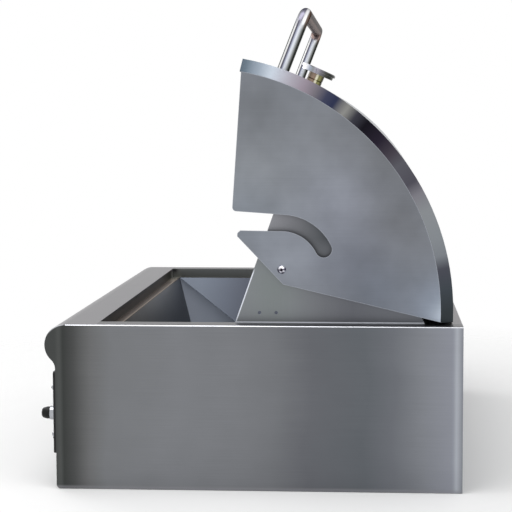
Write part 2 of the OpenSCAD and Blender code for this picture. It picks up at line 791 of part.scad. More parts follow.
module igniter_collar() {
    r = collar_d / 2;
    deep = igniter_travel + 2 * over;
    color(bright) translate([igniter_x, panel_face, control_z]) rotate([90, 0, 0]) rotate_extrude() polygon([
        [plunger_d / 2 + run, panel_face - barrel_end], [barrel_d / 2, panel_face - barrel_end], [barrel_d / 2, 0],
        [collar_flange_d / 2, 0], [collar_flange_d / 2, collar_flange_h], [r, collar_flange_h], [r, collar_h],
        [r - collar_wall, collar_h], [r - collar_wall, collar_h - deep], [plunger_d / 2 + run, collar_h - deep]]);
}
module igniter_button() {
    base = collar_h - over;
    back = panel_face - barrel_end + igniter_travel + 2 * over;
    color(black) translate([igniter_x, panel_face, control_z]) rotate([90, 0, 0]) rotate_extrude() polygon([
        [0, back], [plunger_d / 2, back], [plunger_d / 2, base], [button_r, base], [button_r, base + button_h / 2],
        [button_tip_r, base + button_h - button_round], [button_tip_r - button_round, base + button_h],
        [0, base + button_h]]);
}
module igniter_module() {
    color(black) rod_y(module_d, igniter_x, barrel_end, control_z, module_l);
}
module igniter_electrodes() {
    y = pit_front - sheet_t - electrode_out;
    color("white") for (x = burner_x) {
        rod_y(electrode_d, x + electrode_side, y, control_z, electrode_out + electrode_in);
        rod_y(electrode_tip_d, x + electrode_side, y, control_z, electrode_out + electrode_in + electrode_tip_l);
    }
}

module drip_tray() {
    z0 = tray_foot + tray_lift;
    z1 = tray_flange_z + tray_lift;
    color(steel) difference() {
        union() {
            block([-tray_w / 2, tray_y, z0], [tray_w / 2, tray_y + tray_l, z1]);
            block([-tray_w / 2 - tray_flange_w, tray_y + sheet_t, z1 - tray_t],
                [tray_w / 2 + tray_flange_w, tray_y + tray_l, z1]);
        }
        block([-tray_w / 2 + tray_t, tray_y + tray_t, z0 + tray_t],
            [tray_w / 2 - tray_t, tray_y + tray_l - tray_t, z1 + over]);
    }
}
module tray_front() {
    top = tray_foot + tray_front_h;
    pull_z = top - pull_drop;
    color(steel) {
        block([-tray_front_w / 2, front_y, tray_foot], [tray_front_w / 2, front_y + sheet_t, top]);
        across(pull_w / 2) polygon(bent([[front_y + sheet_t / 2, pull_z], [front_y - pull_out, pull_z],
            [front_y - pull_out, pull_z - pull_lip_h]], sheet_t));
    }
}
module tray_runners() {
    z1 = tray_flange_z + tray_lift;
    color(dark_steel) for (s = [-1, 1]) scale([s, 1, 1]) {
        block([runner_x, front_y + foot_r + over, sheet_t], [runner_x + runner_t, front_y + runner_l,
            z1 + runner_gap + runner_t]);
        block([runner_x - runner_ledge_w, front_y + foot_r + over, z1 - tray_t - runner_gap - runner_t],
            [runner_x + runner_t / 2, front_y + runner_l, z1 - tray_t - runner_gap]);
        block([runner_x - runner_ledge_w, front_y + foot_r + over, z1 + runner_gap],
            [runner_x + runner_t / 2, front_y + runner_l, z1 + runner_gap + runner_t]);
    }
}

// Corners of an upright, as setbacks and heights over the rim
upright_corners = [[upright_setback, -lip_h], [upright_setback, 0], [upright_top_front, upright_h],
    [upright_top_setback, upright_h + upright_top_rise], [deck_setback, 0], [deck_setback, -lip_h]];
module upright(s) {
    color(steel) scale([s, 1, 1]) difference() {
        along_x(upright_x, sheet_t) translate([front_y, rim_z]) polygon(upright_corners);
        for (i = [-1, 1]) rod_x(bracket_hole_d, upright_x - over, pivot_y - bracket_forward + i * bracket_pitch / 2,
            rim_z + bracket_rise, sheet_t + 2 * over);
        rod_x(pivot_screw_d + 2 * hole_play, upright_x - over, pivot_y, pivot_z, sheet_t + 2 * over);
    }
}
module back_wall() {
    p = [for (i = [5, 4, 3, 2]) upright_corners[i]];
    lip = p[3] + [0, -cap_lip_h];
    slope = p[2] - p[1];
    color(steel) difference() {
        across(upright_x) translate([front_y, rim_z]) polygon(bent(concat(p, [lip]), sheet_t));
        for (i = [0:vent_n - 1])
            translate([(i - (vent_n - 1) / 2) * vent_pitch, 0, 0])
                block([-vent_w / 2, front_y + upright_top_setback, rim_z + p[2][1] - slope[1] * vent_drop_share],
                    [vent_w / 2, front_y + deck_setback, rim_z + p[2][1] - slope[1] * vent_drop_share + vent_h]);
    }
}

// Moves the shut hood's frame to its pivots and opens it
module on_pivot() { translate([0, pivot_y, pivot_z]) rotate([-hood_open, 0, 0]) children(); }
// Revolves a profile of X and radius over the skin's angles
module hood_sweep() {
    translate([0, arc_back, -arc_down]) rotate([0, 90, 0]) rotate([0, 0, 270 - skin_end])
        rotate_extrude(angle = skin_end - skin_start) children();
}
// Stands a piece on the skin at an angle along it, looking outwards
module on_skin(a) {
    translate([0, arc_back - hood_r * cos(a), hood_r * sin(a) - arc_down]) rotate([90 - a, 0, 0]) children();
}
module hood_skin() {
    front = arc_back - hood_r * cos(skin_start);
    drop = 1;
    color(steel) on_pivot() difference() {
        union() {
            hood_sweep() translate([hood_r - sheet_t, -skin_x]) square([sheet_t, 2 * skin_x]);
            block([-skin_x, front + drop, hood_floor], [skin_x, front + skin_lip_w, hood_floor + sheet_t]);
            block([-skin_x, hood_rear - sheet_t, skin_top - skin_back_w], [skin_x, hood_rear, skin_top - drop]);
        }
        for (s = [-1, 1]) translate([s * handle_x, 0, 0]) handle_frame()
            translate([0, 0, -stud_l]) cylinder(d = stud_d + 2 * hole_play, h = 2 * stud_l);
        on_skin(gauge_at) translate([0, 0, -stud_l])
            cylinder(d = probe_thread_d + 2 * hole_play, h = 2 * stud_l);
    }
}
module hood_bevels() {
    color(bright) on_pivot() for (s = [-1, 1]) scale([s, 1, 1]) hood_sweep() polygon([
        [hood_r - sheet_t, -skin_x], [hood_r, -skin_x], [hood_r - bevel_w, -hood_x],
        [hood_r - bevel_w, -hood_x + sheet_t], [hood_r - bevel_w - sheet_t / 2, -hood_x + sheet_t]]);
}
// A side plate's outline in the shut hood's frame
module hood_side_view() {
    slot_w = slot_outer_r - slot_inner_r;
    slot_mid = (slot_outer_r + slot_inner_r) / 2;
    end = [-slot_mid * cos(slot_climb), slot_mid * sin(slot_climb)];
    nose_z = hood_floor + nose_rise;
    nose_y = -slot_inner_r + mouth_flare;
    difference() {
        intersection() {
            translate([arc_back, -arc_down]) circle(hood_r - bevel_w);
            polygon([[-hood_r, hood_floor], [-slot_outer_r, hood_floor], [-slot_outer_r, 0],
                [-slot_inner_r, 0], [nose_y, nose_z + nose_r], [nose_y + nose_r, nose_z],
                [nose_y + nose_flat, nose_z], [heel_y, heel_z], [hood_rear, rear_top_z], [hood_rear, hood_r],
                [-hood_r, hood_r]]);
        }
        intersection() {
            difference() {
                circle(slot_outer_r);
                circle(slot_inner_r);
            }
            polygon([[0, 0], 2 * slot_outer_r * [-1, 0], 2 * slot_outer_r * [-1, tan(slot_climb / 2)], 3 * end]);
        }
        translate(end) circle(slot_w / 2);
        translate([-slot_outer_r - lip_corner_r, hood_floor]) difference() {
            square(lip_corner_r);
            translate([0, lip_corner_r]) circle(lip_corner_r);
        }
    }
}
module hood_side(s) {
    color(steel) on_pivot() scale([s, 1, 1]) difference() {
        along_x(hood_x - sheet_t, sheet_t) hood_side_view();
        rod_x(bush_d + 2 * run, hood_x - sheet_t - over, 0, 0, sheet_t + 2 * over);
    }
}
module hood_bumpers() {
    y = arc_back - hood_r * cos(skin_start) + bumper_d;
    color(black) on_pivot() for (x = bumper_x) translate([x, y, hood_floor - hood_gap + seat])
        cylinder(d = bumper_d, h = hood_gap - seat);
}
module hood_stops() {
    far = [stop_y + stop_d / 2, -hood_rear * sin(hood_open)];
    reach = (far[0] - hood_rear * cos(hood_open)) / sin(hood_open);
    h = pivot_rise - hood_rear * sin(hood_open) + reach * cos(hood_open) - seat;
    color(black) for (x = stop_x) translate([x, pivot_y + stop_y, rim_z]) cylinder(d = stop_d, h = h);
}

module pivot_bushes() {
    color(brass) for (s = [-1, 1]) scale([s, 1, 1]) difference() {
        union() {
            rod_x(bush_flange_d, lip_x, pivot_y, pivot_z, hood_x - sheet_t - seat - lip_x);
            rod_x(bush_d, lip_x, pivot_y, pivot_z, hood_x + seat - lip_x);
        }
        rod_x(pivot_screw_d + 2 * hole_play, lip_x - over, pivot_y, pivot_z, side_rim_w);
    }
}
module pivot_screws() {
    color(bright) for (s = [-1, 1]) scale([s, 1, 1]) difference() {
        union() {
            rod_x(pivot_screw_d, upright_x - pivot_nut_h - over, pivot_y, pivot_z,
                hood_x + seat - upright_x + pivot_nut_h + over);
            translate([hood_x + seat, pivot_y, pivot_z]) rotate([0, 90, 0]) dome(pivot_head_d, pivot_head_h);
        }
        translate([hood_x + seat + pivot_head_h - socket_h, pivot_y, pivot_z]) rotate([0, 90, 0])
            cylinder(d = socket_d, h = pivot_head_h, $fn = 6);
    }
}
module pivot_nuts() {
    color(bright) for (s = [-1, 1]) scale([s, 1, 1]) difference() {
        translate([upright_x - pivot_nut_h, pivot_y, pivot_z]) rotate([0, 90, 0])
            cylinder(d = pivot_nut_d, h = pivot_nut_h, $fn = 6);
        rod_x(pivot_screw_d + 2 * hole_play, upright_x - pivot_nut_h - over, pivot_y, pivot_z,
            pivot_nut_h + 2 * over);
    }
}

// Stands at the foot of a handle post, looking along the post
module handle_frame() {
    translate([0, arc_back - hood_r * cos(handle_at), hood_r * sin(handle_at) - arc_down])
        rotate([handle_turn, 0, 0]) children();
}
module handle() {
    post = handle_reach - handle_bend_r;
    half = handle_x - handle_bend_r;
    color(bright) on_pivot() difference() {
        handle_frame() {
            for (s = [-1, 1]) {
                translate([s * handle_x, 0, -handle_d / 2]) cylinder(d = handle_d, h = post + handle_d / 2);
                translate([s * half, 0, post]) rotate([90, 0, 0]) rotate([0, 0, s > 0 ? 0 : 90])
                    rotate_extrude(angle = 90) translate([handle_bend_r, 0]) circle(d = handle_d);
            }
            translate([-half, 0, handle_reach]) rotate([0, 90, 0]) cylinder(d = handle_d, h = 2 * half);
        }
        translate([-side_x, arc_back, -arc_down]) rotate([0, 90, 0]) cylinder(r = hood_r + run, h = body_w);
        for (s = [-1, 1]) translate([s * handle_x, 0, 0]) handle_frame()
            translate([0, 0, -handle_d]) cylinder(d = stud_d + 2 * hole_play, h = handle_d + stud_l + over);
    }
}
module handle_fixings() {
    nut_top = -sheet_t - seat - handle_washer_d * sin(abs(handle_pitch - handle_at)) / 2;
    color(bright) on_pivot() for (s = [-1, 1]) translate([s * handle_x, 0, 0]) handle_frame() {
        translate([0, 0, nut_top - handle_washer_h - handle_nut_h - over])
            cylinder(d = stud_d, h = stud_l - nut_top + handle_washer_h + handle_nut_h + over);
        translate([0, 0, nut_top - handle_washer_h]) cylinder(d = handle_washer_d, h = handle_washer_h);
        translate([0, 0, nut_top - handle_washer_h - handle_nut_h])
            cylinder(d = handle_nut_d, h = handle_nut_h, $fn = 6);
    }
}

// The thermometer's pieces stand on the skin; heights run outwards from it
gauge_z = boss_h + run;
module thermometer_boss() {
    groove = 1;
    bore_r = probe_thread_d / 2 + hole_play;
    r = boss_d / 2;
    color(brass) on_pivot() on_skin(gauge_at) translate([0, 0, run]) rotate_extrude() polygon([
        [bore_r, 0], [r, 0], [r, boss_h / 3], [r - groove, boss_h / 3 + groove], [r, boss_h / 3 + 2 * groove],
        [r, boss_h], [bore_r, boss_h]]);
}
module thermometer_case() {
    r = gauge_d / 2;
    inner = dial_d / 2 + run;
    color(bright) on_pivot() on_skin(gauge_at) translate([0, 0, gauge_z]) rotate_extrude() polygon([
        [probe_d / 2 + hole_play, 0], [gauge_body_d / 2, 0], [gauge_body_d / 2, bezel_step_h], [r, bezel_step_h],
        [r, gauge_h - gauge_wall], [r - gauge_wall, gauge_h], [inner, gauge_h], [inner, gauge_wall],
        [probe_d / 2 + hole_play, gauge_wall]]);
}
module thermometer_dial() {
    color("white") on_pivot() on_skin(gauge_at) translate([0, 0, gauge_z + gauge_wall]) {
        cylinder(d = dial_d, h = dial_t);
        cylinder(d = spindle_d, h = dial_t + needle_gap + 2 * needle_t);
    }
}
module thermometer_glass() {
    color([0.8, 0.9, 0.95, 0.3]) on_pivot() on_skin(gauge_at)
        translate([0, 0, gauge_z + gauge_h - glass_drop - glass_t]) cylinder(d = dial_d, h = glass_t);
}
module thermometer_needle() {
    color("firebrick") on_pivot() on_skin(gauge_at)
        translate([0, 0, gauge_z + gauge_wall + dial_t + needle_gap / 2]) rotate([0, 0, needle_rest]) difference() {
            union() {
                cylinder(d = hub_d, h = 2 * needle_t);
                linear_extrude(needle_t) polygon([[-needle_w, -needle_tail], [needle_w, -needle_tail],
                    [needle_w / 4, needle_l], [-needle_w / 4, needle_l]]);
            }
            translate([0, 0, -over]) cylinder(d = spindle_d + 2 * run, h = 2 * needle_t + 2 * over);
        }
}
module thermometer_probe() {
    nut_top = -sheet_t - seat;
    color(bright) on_pivot() on_skin(gauge_at) {
        translate([0, 0, -probe_l]) cylinder(d = probe_d, h = probe_l + gauge_z + gauge_wall);
        translate([0, 0, nut_top - probe_nut_h - over])
            cylinder(d = probe_thread_d, h = gauge_z - nut_top + probe_nut_h + over);
        translate([0, 0, nut_top - probe_nut_h]) cylinder(d = probe_nut_d, h = probe_nut_h, $fn = 6);
    }
}

side_panel(-1);  // side_panel_left
side_panel(1);  // side_panel_right
front_fascia();
rear_panel();
base_pan();
rear_deck();
firebox_hopper();
burner_box();
control_panel();
panel_screws();
knob_bezels();
gas_valves();
gas_manifold();
gas_inlet();
burner_tube(burner_x[0]);  // burner_tube_1
burner_tube(burner_x[1]);  // burner_tube_2
burner_tube(burner_x[2]);  // burner_tube_3
heat_tent(burner_x[0]);  // heat_tent_1
heat_tent(burner_x[1]);  // heat_tent_2
heat_tent(burner_x[2]);  // heat_tent_3
cooking_grate(0);  // cooking_grate_1
cooking_grate(1);  // cooking_grate_2
cooking_grate(2);  // cooking_grate_3
igniter_collar();
igniter_module();
igniter_electrodes();
tray_runners();
upright(-1);  // upright_left
upright(1);  // upright_right
back_wall();
hood_stops();
pivot_bushes();
pivot_screws();
pivot_nuts();
burner_knob(burner_x[0]);  // burner_knob_1
burner_knob(burner_x[1]);  // burner_knob_2
burner_knob(burner_x[2]);  // burner_knob_3
valve_stem(burner_x[0]);  // valve_stem_1
valve_stem(burner_x[1]);  // valve_stem_2
valve_stem(burner_x[2]);  // valve_stem_3
stem_washer(burner_x[0]);  // stem_washer_1
stem_washer(burner_x[1]);  // stem_washer_2
stem_washer(burner_x[2]);  // stem_washer_3
igniter_button();
drip_tray();
tray_front();
hood_skin();
hood_bevels();
hood_side(-1);  // hood_side_left
hood_side(1);  // hood_side_right
hood_bumpers();
handle();
handle_fixings();
thermometer_boss();
thermometer_case();
thermometer_dial();
thermometer_glass();
thermometer_needle();
thermometer_probe();
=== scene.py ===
import json
import math
import bpy
import bmesh
from mathutils import Matrix, Vector


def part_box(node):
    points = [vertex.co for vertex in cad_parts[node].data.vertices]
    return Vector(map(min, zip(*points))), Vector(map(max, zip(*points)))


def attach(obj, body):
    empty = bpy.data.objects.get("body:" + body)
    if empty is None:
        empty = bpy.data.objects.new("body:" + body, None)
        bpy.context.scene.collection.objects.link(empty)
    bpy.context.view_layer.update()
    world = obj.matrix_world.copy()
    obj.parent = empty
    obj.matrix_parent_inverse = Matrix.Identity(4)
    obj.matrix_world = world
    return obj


# Built-in gas grill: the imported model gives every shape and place, this script gives the looks.
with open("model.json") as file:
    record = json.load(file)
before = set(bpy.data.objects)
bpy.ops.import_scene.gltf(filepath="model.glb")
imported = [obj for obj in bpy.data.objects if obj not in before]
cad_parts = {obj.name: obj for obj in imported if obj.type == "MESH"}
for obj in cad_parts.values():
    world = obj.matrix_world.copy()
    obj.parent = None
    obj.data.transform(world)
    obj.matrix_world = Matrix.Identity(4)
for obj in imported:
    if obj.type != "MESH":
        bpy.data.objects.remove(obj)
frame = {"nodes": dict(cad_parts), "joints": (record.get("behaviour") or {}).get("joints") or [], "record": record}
nodes = frame["nodes"]
joints = {joint["name"]: joint for joint in frame["joints"]}
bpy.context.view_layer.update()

# Places on the grill in metres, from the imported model
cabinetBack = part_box("side_panel_right")[1][1]
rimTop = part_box("side_panel_right")[1][2]
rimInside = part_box("side_panel_right")[0][0]  # inner face of the near rim's lip
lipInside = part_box("front_fascia")[1][1]      # inner face of the front rim's lip
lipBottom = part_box("firebox_hopper")[1][2]    # top of the firebox ledge, where the lips start
hoodPivot = tuple(joints["hood_hinge"]["pos_m"])
print("frame loaded:", len(nodes), "nodes")

cameraSet = {
    "place": (2.2782, 0.1774, 0.5510),
    "yaw": 2.895,                             # degrees towards the front
    "pitch": 4.182,                           # degrees down
    "roll": -0.065,
    "focalPixels": 1302.8,
    "imagePixels": 512,
    "sensor": 36.0,                           # millimetres
    "shift": (-0.11, -0.08),
}


def addCamera():
    data = bpy.data.cameras.new("photoCamera")
    data.sensor_width = cameraSet["sensor"]
    data.lens = cameraSet["focalPixels"] / cameraSet["imagePixels"] * data.sensor_width
    data.shift_x, data.shift_y = cameraSet["shift"]
    cam = bpy.data.objects.new("photoCamera", data)
    yaw, pitch, roll = (math.radians(cameraSet[k]) for k in ("yaw", "pitch", "roll"))
    ahead = Vector((-math.cos(pitch) * math.cos(yaw), -math.cos(pitch) * math.sin(yaw), -math.sin(pitch)))
    right = ahead.cross(Vector((0, 0, 1))).normalized()
    up = right.cross(ahead)
    rolledRight = right * math.cos(roll) + up * math.sin(roll)
    rolledUp = up * math.cos(roll) - right * math.sin(roll)
    turn = Matrix((rolledRight, rolledUp, -ahead)).transposed().to_4x4()
    cam.matrix_world = Matrix.Translation(cameraSet["place"]) @ turn
    bpy.context.scene.collection.objects.link(cam)
    bpy.context.scene.camera = cam


addCamera()


# Short names for the steps of a node tree
def tint(code):  # a colour as it looks on the screen, in Blender's linear values
    parts = [int(code[i:i + 2], 16) / 255 for i in (0, 2, 4)]
    return tuple(p / 12.92 if p <= 0.04045 else ((p + 0.055) / 1.055) ** 2.4 for p in parts)


def addNode(tree, kind, **settings):
    n = tree.nodes.new(kind)
    for key, value in settings.items():
        setattr(n, key, value)
    return n


def feed(tree, socket, value):  # a link from another node, or a constant
    if hasattr(value, "is_output"):
        tree.links.new(value, socket)
    elif isinstance(value, tuple) and socket.type == "RGBA":
        socket.default_value = (*value[:3], 1)
    else:
        socket.default_value = value


def calc(tree, how, a, b=0.0, clamp=False):
    n = addNode(tree, "ShaderNodeMath", operation=how, use_clamp=clamp)
    feed(tree, n.inputs[0], a)
    feed(tree, n.inputs[1], b)
    return n.outputs[0]


def times(tree, first, *others):
    result = first
    for value in others:
        result = calc(tree, "MULTIPLY", result, value)
    return result


def vectorCalc(tree, how, a, b, output=0):
    n = addNode(tree, "ShaderNodeVectorMath", operation=how)
    feed(tree, n.inputs[0], a)
    feed(tree, n.inputs[1], b)
    return n.outputs[output]


def dot(tree, a, b):
    return vectorCalc(tree, "DOT_PRODUCT", a, b, 1)


def pick(tree, value, part):  # X, Y or Z of a vector
    n = addNode(tree, "ShaderNodeSeparateXYZ")
    feed(tree, n.inputs[0], value)
    return n.outputs[part]


def unsigned(tree, value, part):  # the same without its sign
    return calc(tree, "ABSOLUTE", pick(tree, value, part))


def spread(tree, value, low, high):  # 0 at low, 1 at high, held at both ends
    n = addNode(tree, "ShaderNodeMapRange", interpolation_type="LINEAR", clamp=True)
    for label, v in (("Value", value), ("From Min", low), ("From Max", high)):
        feed(tree, n.inputs[label], v)
    return n.outputs["Result"]


def blendColour(tree, factor, a, b, how="MIX"):
    n = addNode(tree, "ShaderNodeMix", data_type="RGBA", blend_type=how)
    for i, value in ((0, factor), (6, a), (7, b)):
        feed(tree, n.inputs[i], value)
    return n.outputs[2]


def paint(tree, mask, under, code):  # one plain colour laid over another
    return blendColour(tree, mask, under, tint(code))


def ramp(tree, factor, stops):
    n = addNode(tree, "ShaderNodeValToRGB")
    line = n.color_ramp.elements
    while len(line) < len(stops):
        line.new(0.5)
    for i, (place, code) in enumerate(stops):
        line[i].position = place
        line[i].color = (*tint(code), 1)
    feed(tree, n.inputs["Fac"], factor)
    return n.outputs["Color"]


def noise(tree, place, scale, detail=2.0):
    n = addNode(tree, "ShaderNodeTexNoise")
    n.inputs["Detail"].default_value = detail
    feed(tree, n.inputs["Vector"], place)
    feed(tree, n.inputs["Scale"], scale)
    return n.outputs["Fac"]


def newTree(name, kind, inputs, outputs):
    tree = bpy.data.node_groups.new(name, kind)
    for label, sort, value in inputs:
        socket = tree.interface.new_socket(label, in_out="INPUT", socket_type="NodeSocket" + sort)
        if value is not None:
            socket.default_value = value
    for label, sort in outputs:
        tree.interface.new_socket(label, in_out="OUTPUT", socket_type="NodeSocket" + sort)
    return tree, addNode(tree, "NodeGroupInput").outputs, addNode(tree, "NodeGroupOutput").inputs


def useGroup(tree, group, **values):
    n = addNode(tree, "ShaderNodeGroup", node_tree=group)
    for label, value in values.items():
        feed(tree, n.inputs[label], value)
    return n.outputs


effectLook = {
    "lineDetail": 4.0, "patchDetail": 3.0, "bevelSamples": 4, "edgeStrength": 9.0,
    "inward": (-0.1, -0.3),                   # how far a face has to look inwards
    "relief": 0.0002,                         # metres that the fine lines rise
}

# Fine lines squeezed along one direction, with slow patches under them
grainInputs = [("Place", "Vector", None), ("Squeeze", "Vector", (900, 900, 12)), ("Lines", "Float", 0.1),
               ("Patches", "Float", 0.1), ("PatchSize", "Float", 7.0)]
grain, gIn, gOut = newTree("grain", "ShaderNodeTree", grainInputs, [("Tone", "Float"), ("Height", "Float")])
squeezed = vectorCalc(grain, "MULTIPLY", gIn["Place"], gIn["Squeeze"])
fine = noise(grain, squeezed, 1.0, effectLook["lineDetail"])
slow = noise(grain, gIn["Place"], gIn["PatchSize"], effectLook["patchDetail"])
lineTone = times(grain, calc(grain, "SUBTRACT", fine, 0.5), gIn["Lines"])
patchTone = times(grain, calc(grain, "SUBTRACT", slow, 0.5), gIn["Patches"])
feed(grain, gOut["Tone"], calc(grain, "ADD", calc(grain, "ADD", lineTone, patchTone), 1.0))
feed(grain, gOut["Height"], fine)

# Painted highlight on edges, where a rounded normal leaves the face's own
edgeInputs = [("Width", "Float", 0.0012), ("Strength", "Float", effectLook["edgeStrength"])]
edges, eIn, eOut = newTree("edges", "ShaderNodeTree", edgeInputs, [("Mask", "Float")])
rounded = addNode(edges, "ShaderNodeBevel", samples=effectLook["bevelSamples"])
feed(edges, rounded.inputs["Radius"], eIn["Width"])
likeness = dot(edges, rounded.outputs[0], addNode(edges, "ShaderNodeNewGeometry").outputs["Normal"])
# mask of the painted highlight along the edges
edgeHighlight = calc(edges, "MULTIPLY", calc(edges, "SUBTRACT", 1.0, likeness), eIn["Strength"], clamp=True)
feed(edges, eOut["Mask"], edgeHighlight)

# How far a place is along a line, from 0 to 1
alongInputs = [("Place", "Vector", None), ("Start", "Vector", None), ("Way", "Vector", (1, 0, 0)),
               ("Length", "Float", 1.0)]
along, aIn, aOut = newTree("along", "ShaderNodeTree", alongInputs, [("Share", "Float")])
reach = dot(along, vectorCalc(along, "SUBTRACT", aIn["Place"], aIn["Start"]), aIn["Way"])
feed(along, aOut["Share"], calc(along, "DIVIDE", reach, aIn["Length"], clamp=True))

# A soft patch around one place
spotInputs = [("Place", "Vector", None), ("Centre", "Vector", None), ("Squeeze", "Vector", (1, 1, 1)),
              ("Radius", "Float", 0.1)]
spot, sIn, sOut = newTree("spot", "ShaderNodeTree", spotInputs, [("Mask", "Float")])
away = vectorCalc(spot, "MULTIPLY", vectorCalc(spot, "SUBTRACT", sIn["Place"], sIn["Centre"]), sIn["Squeeze"])
far = calc(spot, "DIVIDE", vectorCalc(spot, "LENGTH", away, (0, 0, 0), 1), sIn["Radius"])
feed(spot, sOut["Mask"], calc(spot, "EXPONENT", times(spot, calc(spot, "POWER", far, 2.0), -1.0)))

# Angle and distance about a line that runs across the grill
aroundInputs = [("Place", "Vector", None), ("Centre", "Vector", None)]
aroundOutputs = [("Angle", "Float"), ("Distance", "Float")]
around, rIn, rOut = newTree("around", "ShaderNodeTree", aroundInputs, aroundOutputs)
offset = vectorCalc(around, "SUBTRACT", rIn["Place"], rIn["Centre"])
offset = vectorCalc(around, "MULTIPLY", offset, (0, 1, 1))
feed(around, rOut["Angle"], calc(around, "ARCTAN2", pick(around, offset, "Z"), pick(around, offset, "Y")))
feed(around, rOut["Distance"], vectorCalc(around, "LENGTH", offset, (0, 0, 0), 1))

# Faces of a side sheet that look towards the grill's middle
inwardInputs = [("Place", "Vector", None), ("Normal", "Vector", None)]
inward, nIn, nOut = newTree("inward", "ShaderNodeTree", inwardInputs, [("Mask", "Float")])
acrossPlace = vectorCalc(inward, "MULTIPLY", nIn["Place"], (1, 0, 0))
feed(inward, nOut["Mask"], spread(inward, dot(inward, nIn["Normal"], acrossPlace), *effectLook["inward"]))
print("shared effects built")

finishes = {}
upGrain, acrossGrain, depthGrain, evenGrain = (900, 900, 10), (10, 900, 900), (900, 10, 900), (420, 420, 420)


def finish(name, colour, rough=0.34, metallic=1.0, squeeze=upGrain, lines=0.1, patches=0.1, patchSize=7.0,
           glint=0.0, glintColour="c8cad0", glintWidth=0.0012, bump=0.2, coat=0.0, shine=0.5, edgeTint=1.0):
    mat = bpy.data.materials.new(name)
    mat.use_nodes = True
    tree = mat.node_tree
    shader = tree.nodes["Principled BSDF"]
    coord = addNode(tree, "ShaderNodeTexCoord").outputs
    base = colour(tree, coord["Object"], coord["Normal"]) if callable(colour) else tint(colour)
    brushed = useGroup(tree, grain, Place=coord["Object"], Squeeze=squeeze, Lines=lines, Patches=patches,
                       PatchSize=patchSize)
    base = blendColour(tree, 1.0, base, brushed["Tone"], "MULTIPLY")
    if glint:
        mask = useGroup(tree, edges, Width=glintWidth)["Mask"]
        base = paint(tree, times(tree, mask, glint), base, glintColour)
    feed(tree, shader.inputs["Base Color"], base)
    shader.inputs["Metallic"].default_value = metallic
    shader.inputs["Coat Weight"].default_value = coat
    shader.inputs["Specular IOR Level"].default_value = shine
    shader.inputs["Specular Tint"].default_value = (edgeTint, edgeTint, edgeTint, 1)
    feed(tree, shader.inputs["Roughness"], times(tree, brushed["Tone"], rough))
    relief = addNode(tree, "ShaderNodeBump")
    relief.inputs["Strength"].default_value = bump
    relief.inputs["Distance"].default_value = effectLook["relief"]
    feed(tree, relief.inputs["Height"], brushed["Height"])
    feed(tree, shader.inputs["Normal"], relief.outputs["Normal"])
    finishes[name] = mat
    return mat


def lipShare(tree, place):  # 0 at the foot of the rim's lips, 1 at their top
    return useGroup(tree, along, Place=place, Start=(0, 0, lipBottom), Way=(0, 0, 1),
                    Length=rimTop - lipBottom)["Share"]


def placeMask(tree, place, look, name):  # the spot that a look names, such as "cornerShadowPlace"
    return useGroup(tree, spot, Place=place, Centre=look[name + "Place"], Radius=look[name + "Size"],
                    Squeeze=look.get(name + "Squeeze", (1, 1, 1)))["Mask"]


sideLook = {
    "wall": [(0, "484a49"), (0.01, "525453"), (0.02, "3e403f"), (0.045, "4d4e4e"), (0.085, "6c6d6e"),
             (0.13, "787a7d"), (0.3, "7c7e82"), (0.44, "7a7c80"), (0.53, "75777b"), (0.62, "67696e"),
             (0.76, "62666b"), (0.83, "6d7076"), (0.9, "808389"), (0.975, "8b8e97"), (0.985, "a9adb5"),
             (1, "80838a")],                                      # painted reflection and shade, from the front to the back
    "stray": 0.09, "straySize": 7.0, "straySqueeze": (1, 0.6, 1.6),  # how far the tones wander
    "strayFront": (0.06, 0.16), "strayBack": (0.96, 0.88),
    # Painted reflection: the rim tone on up-facing faces. Painted highlights: the fold tone on the top fold and
    # the hem round the bullnose, and the foot tone along the bottom.
    "rim": "4f4e51", "rimFacing": (0.6, 0.95),
    "fold": "c8c9ce", "foldFacing": (0.94, 0.985),
    "bullnose": (0, -0.2875, 0.217), "hemRadius": (0.0294, 0.0302), "hemFront": (-0.2875, -0.2915),
    "hemTop": (0.233, 0.244),
    "foot": "8c8c90", "footHeight": (0.006, 0.003), "footShare": 0.5,
    "lip": [(0, "70726e"), (1, "888b8a")], "lipSide": (rimInside + 0.003, rimInside - 0.0005),
    # A painted shadow, near black, in the gap at the far corner where the front and side lips meet.
    "cornerShadow": "141414", "cornerShadowPlace": (-rimInside, lipInside + 0.004, rimTop - 0.0025), "cornerShadowSize": 0.006,
}


def strayShare(tree, place, share):  # bends the side's tones a little, but not at its ends
    look = sideLook
    cloud = noise(tree, vectorCalc(tree, "MULTIPLY", place, look["straySqueeze"]), look["straySize"])
    drift = times(tree, calc(tree, "SUBTRACT", cloud, 0.5), look["stray"])
    between = times(tree, spread(tree, share, *look["strayFront"]), spread(tree, share, *look["strayBack"]))
    return calc(tree, "ADD", share, times(tree, drift, between))


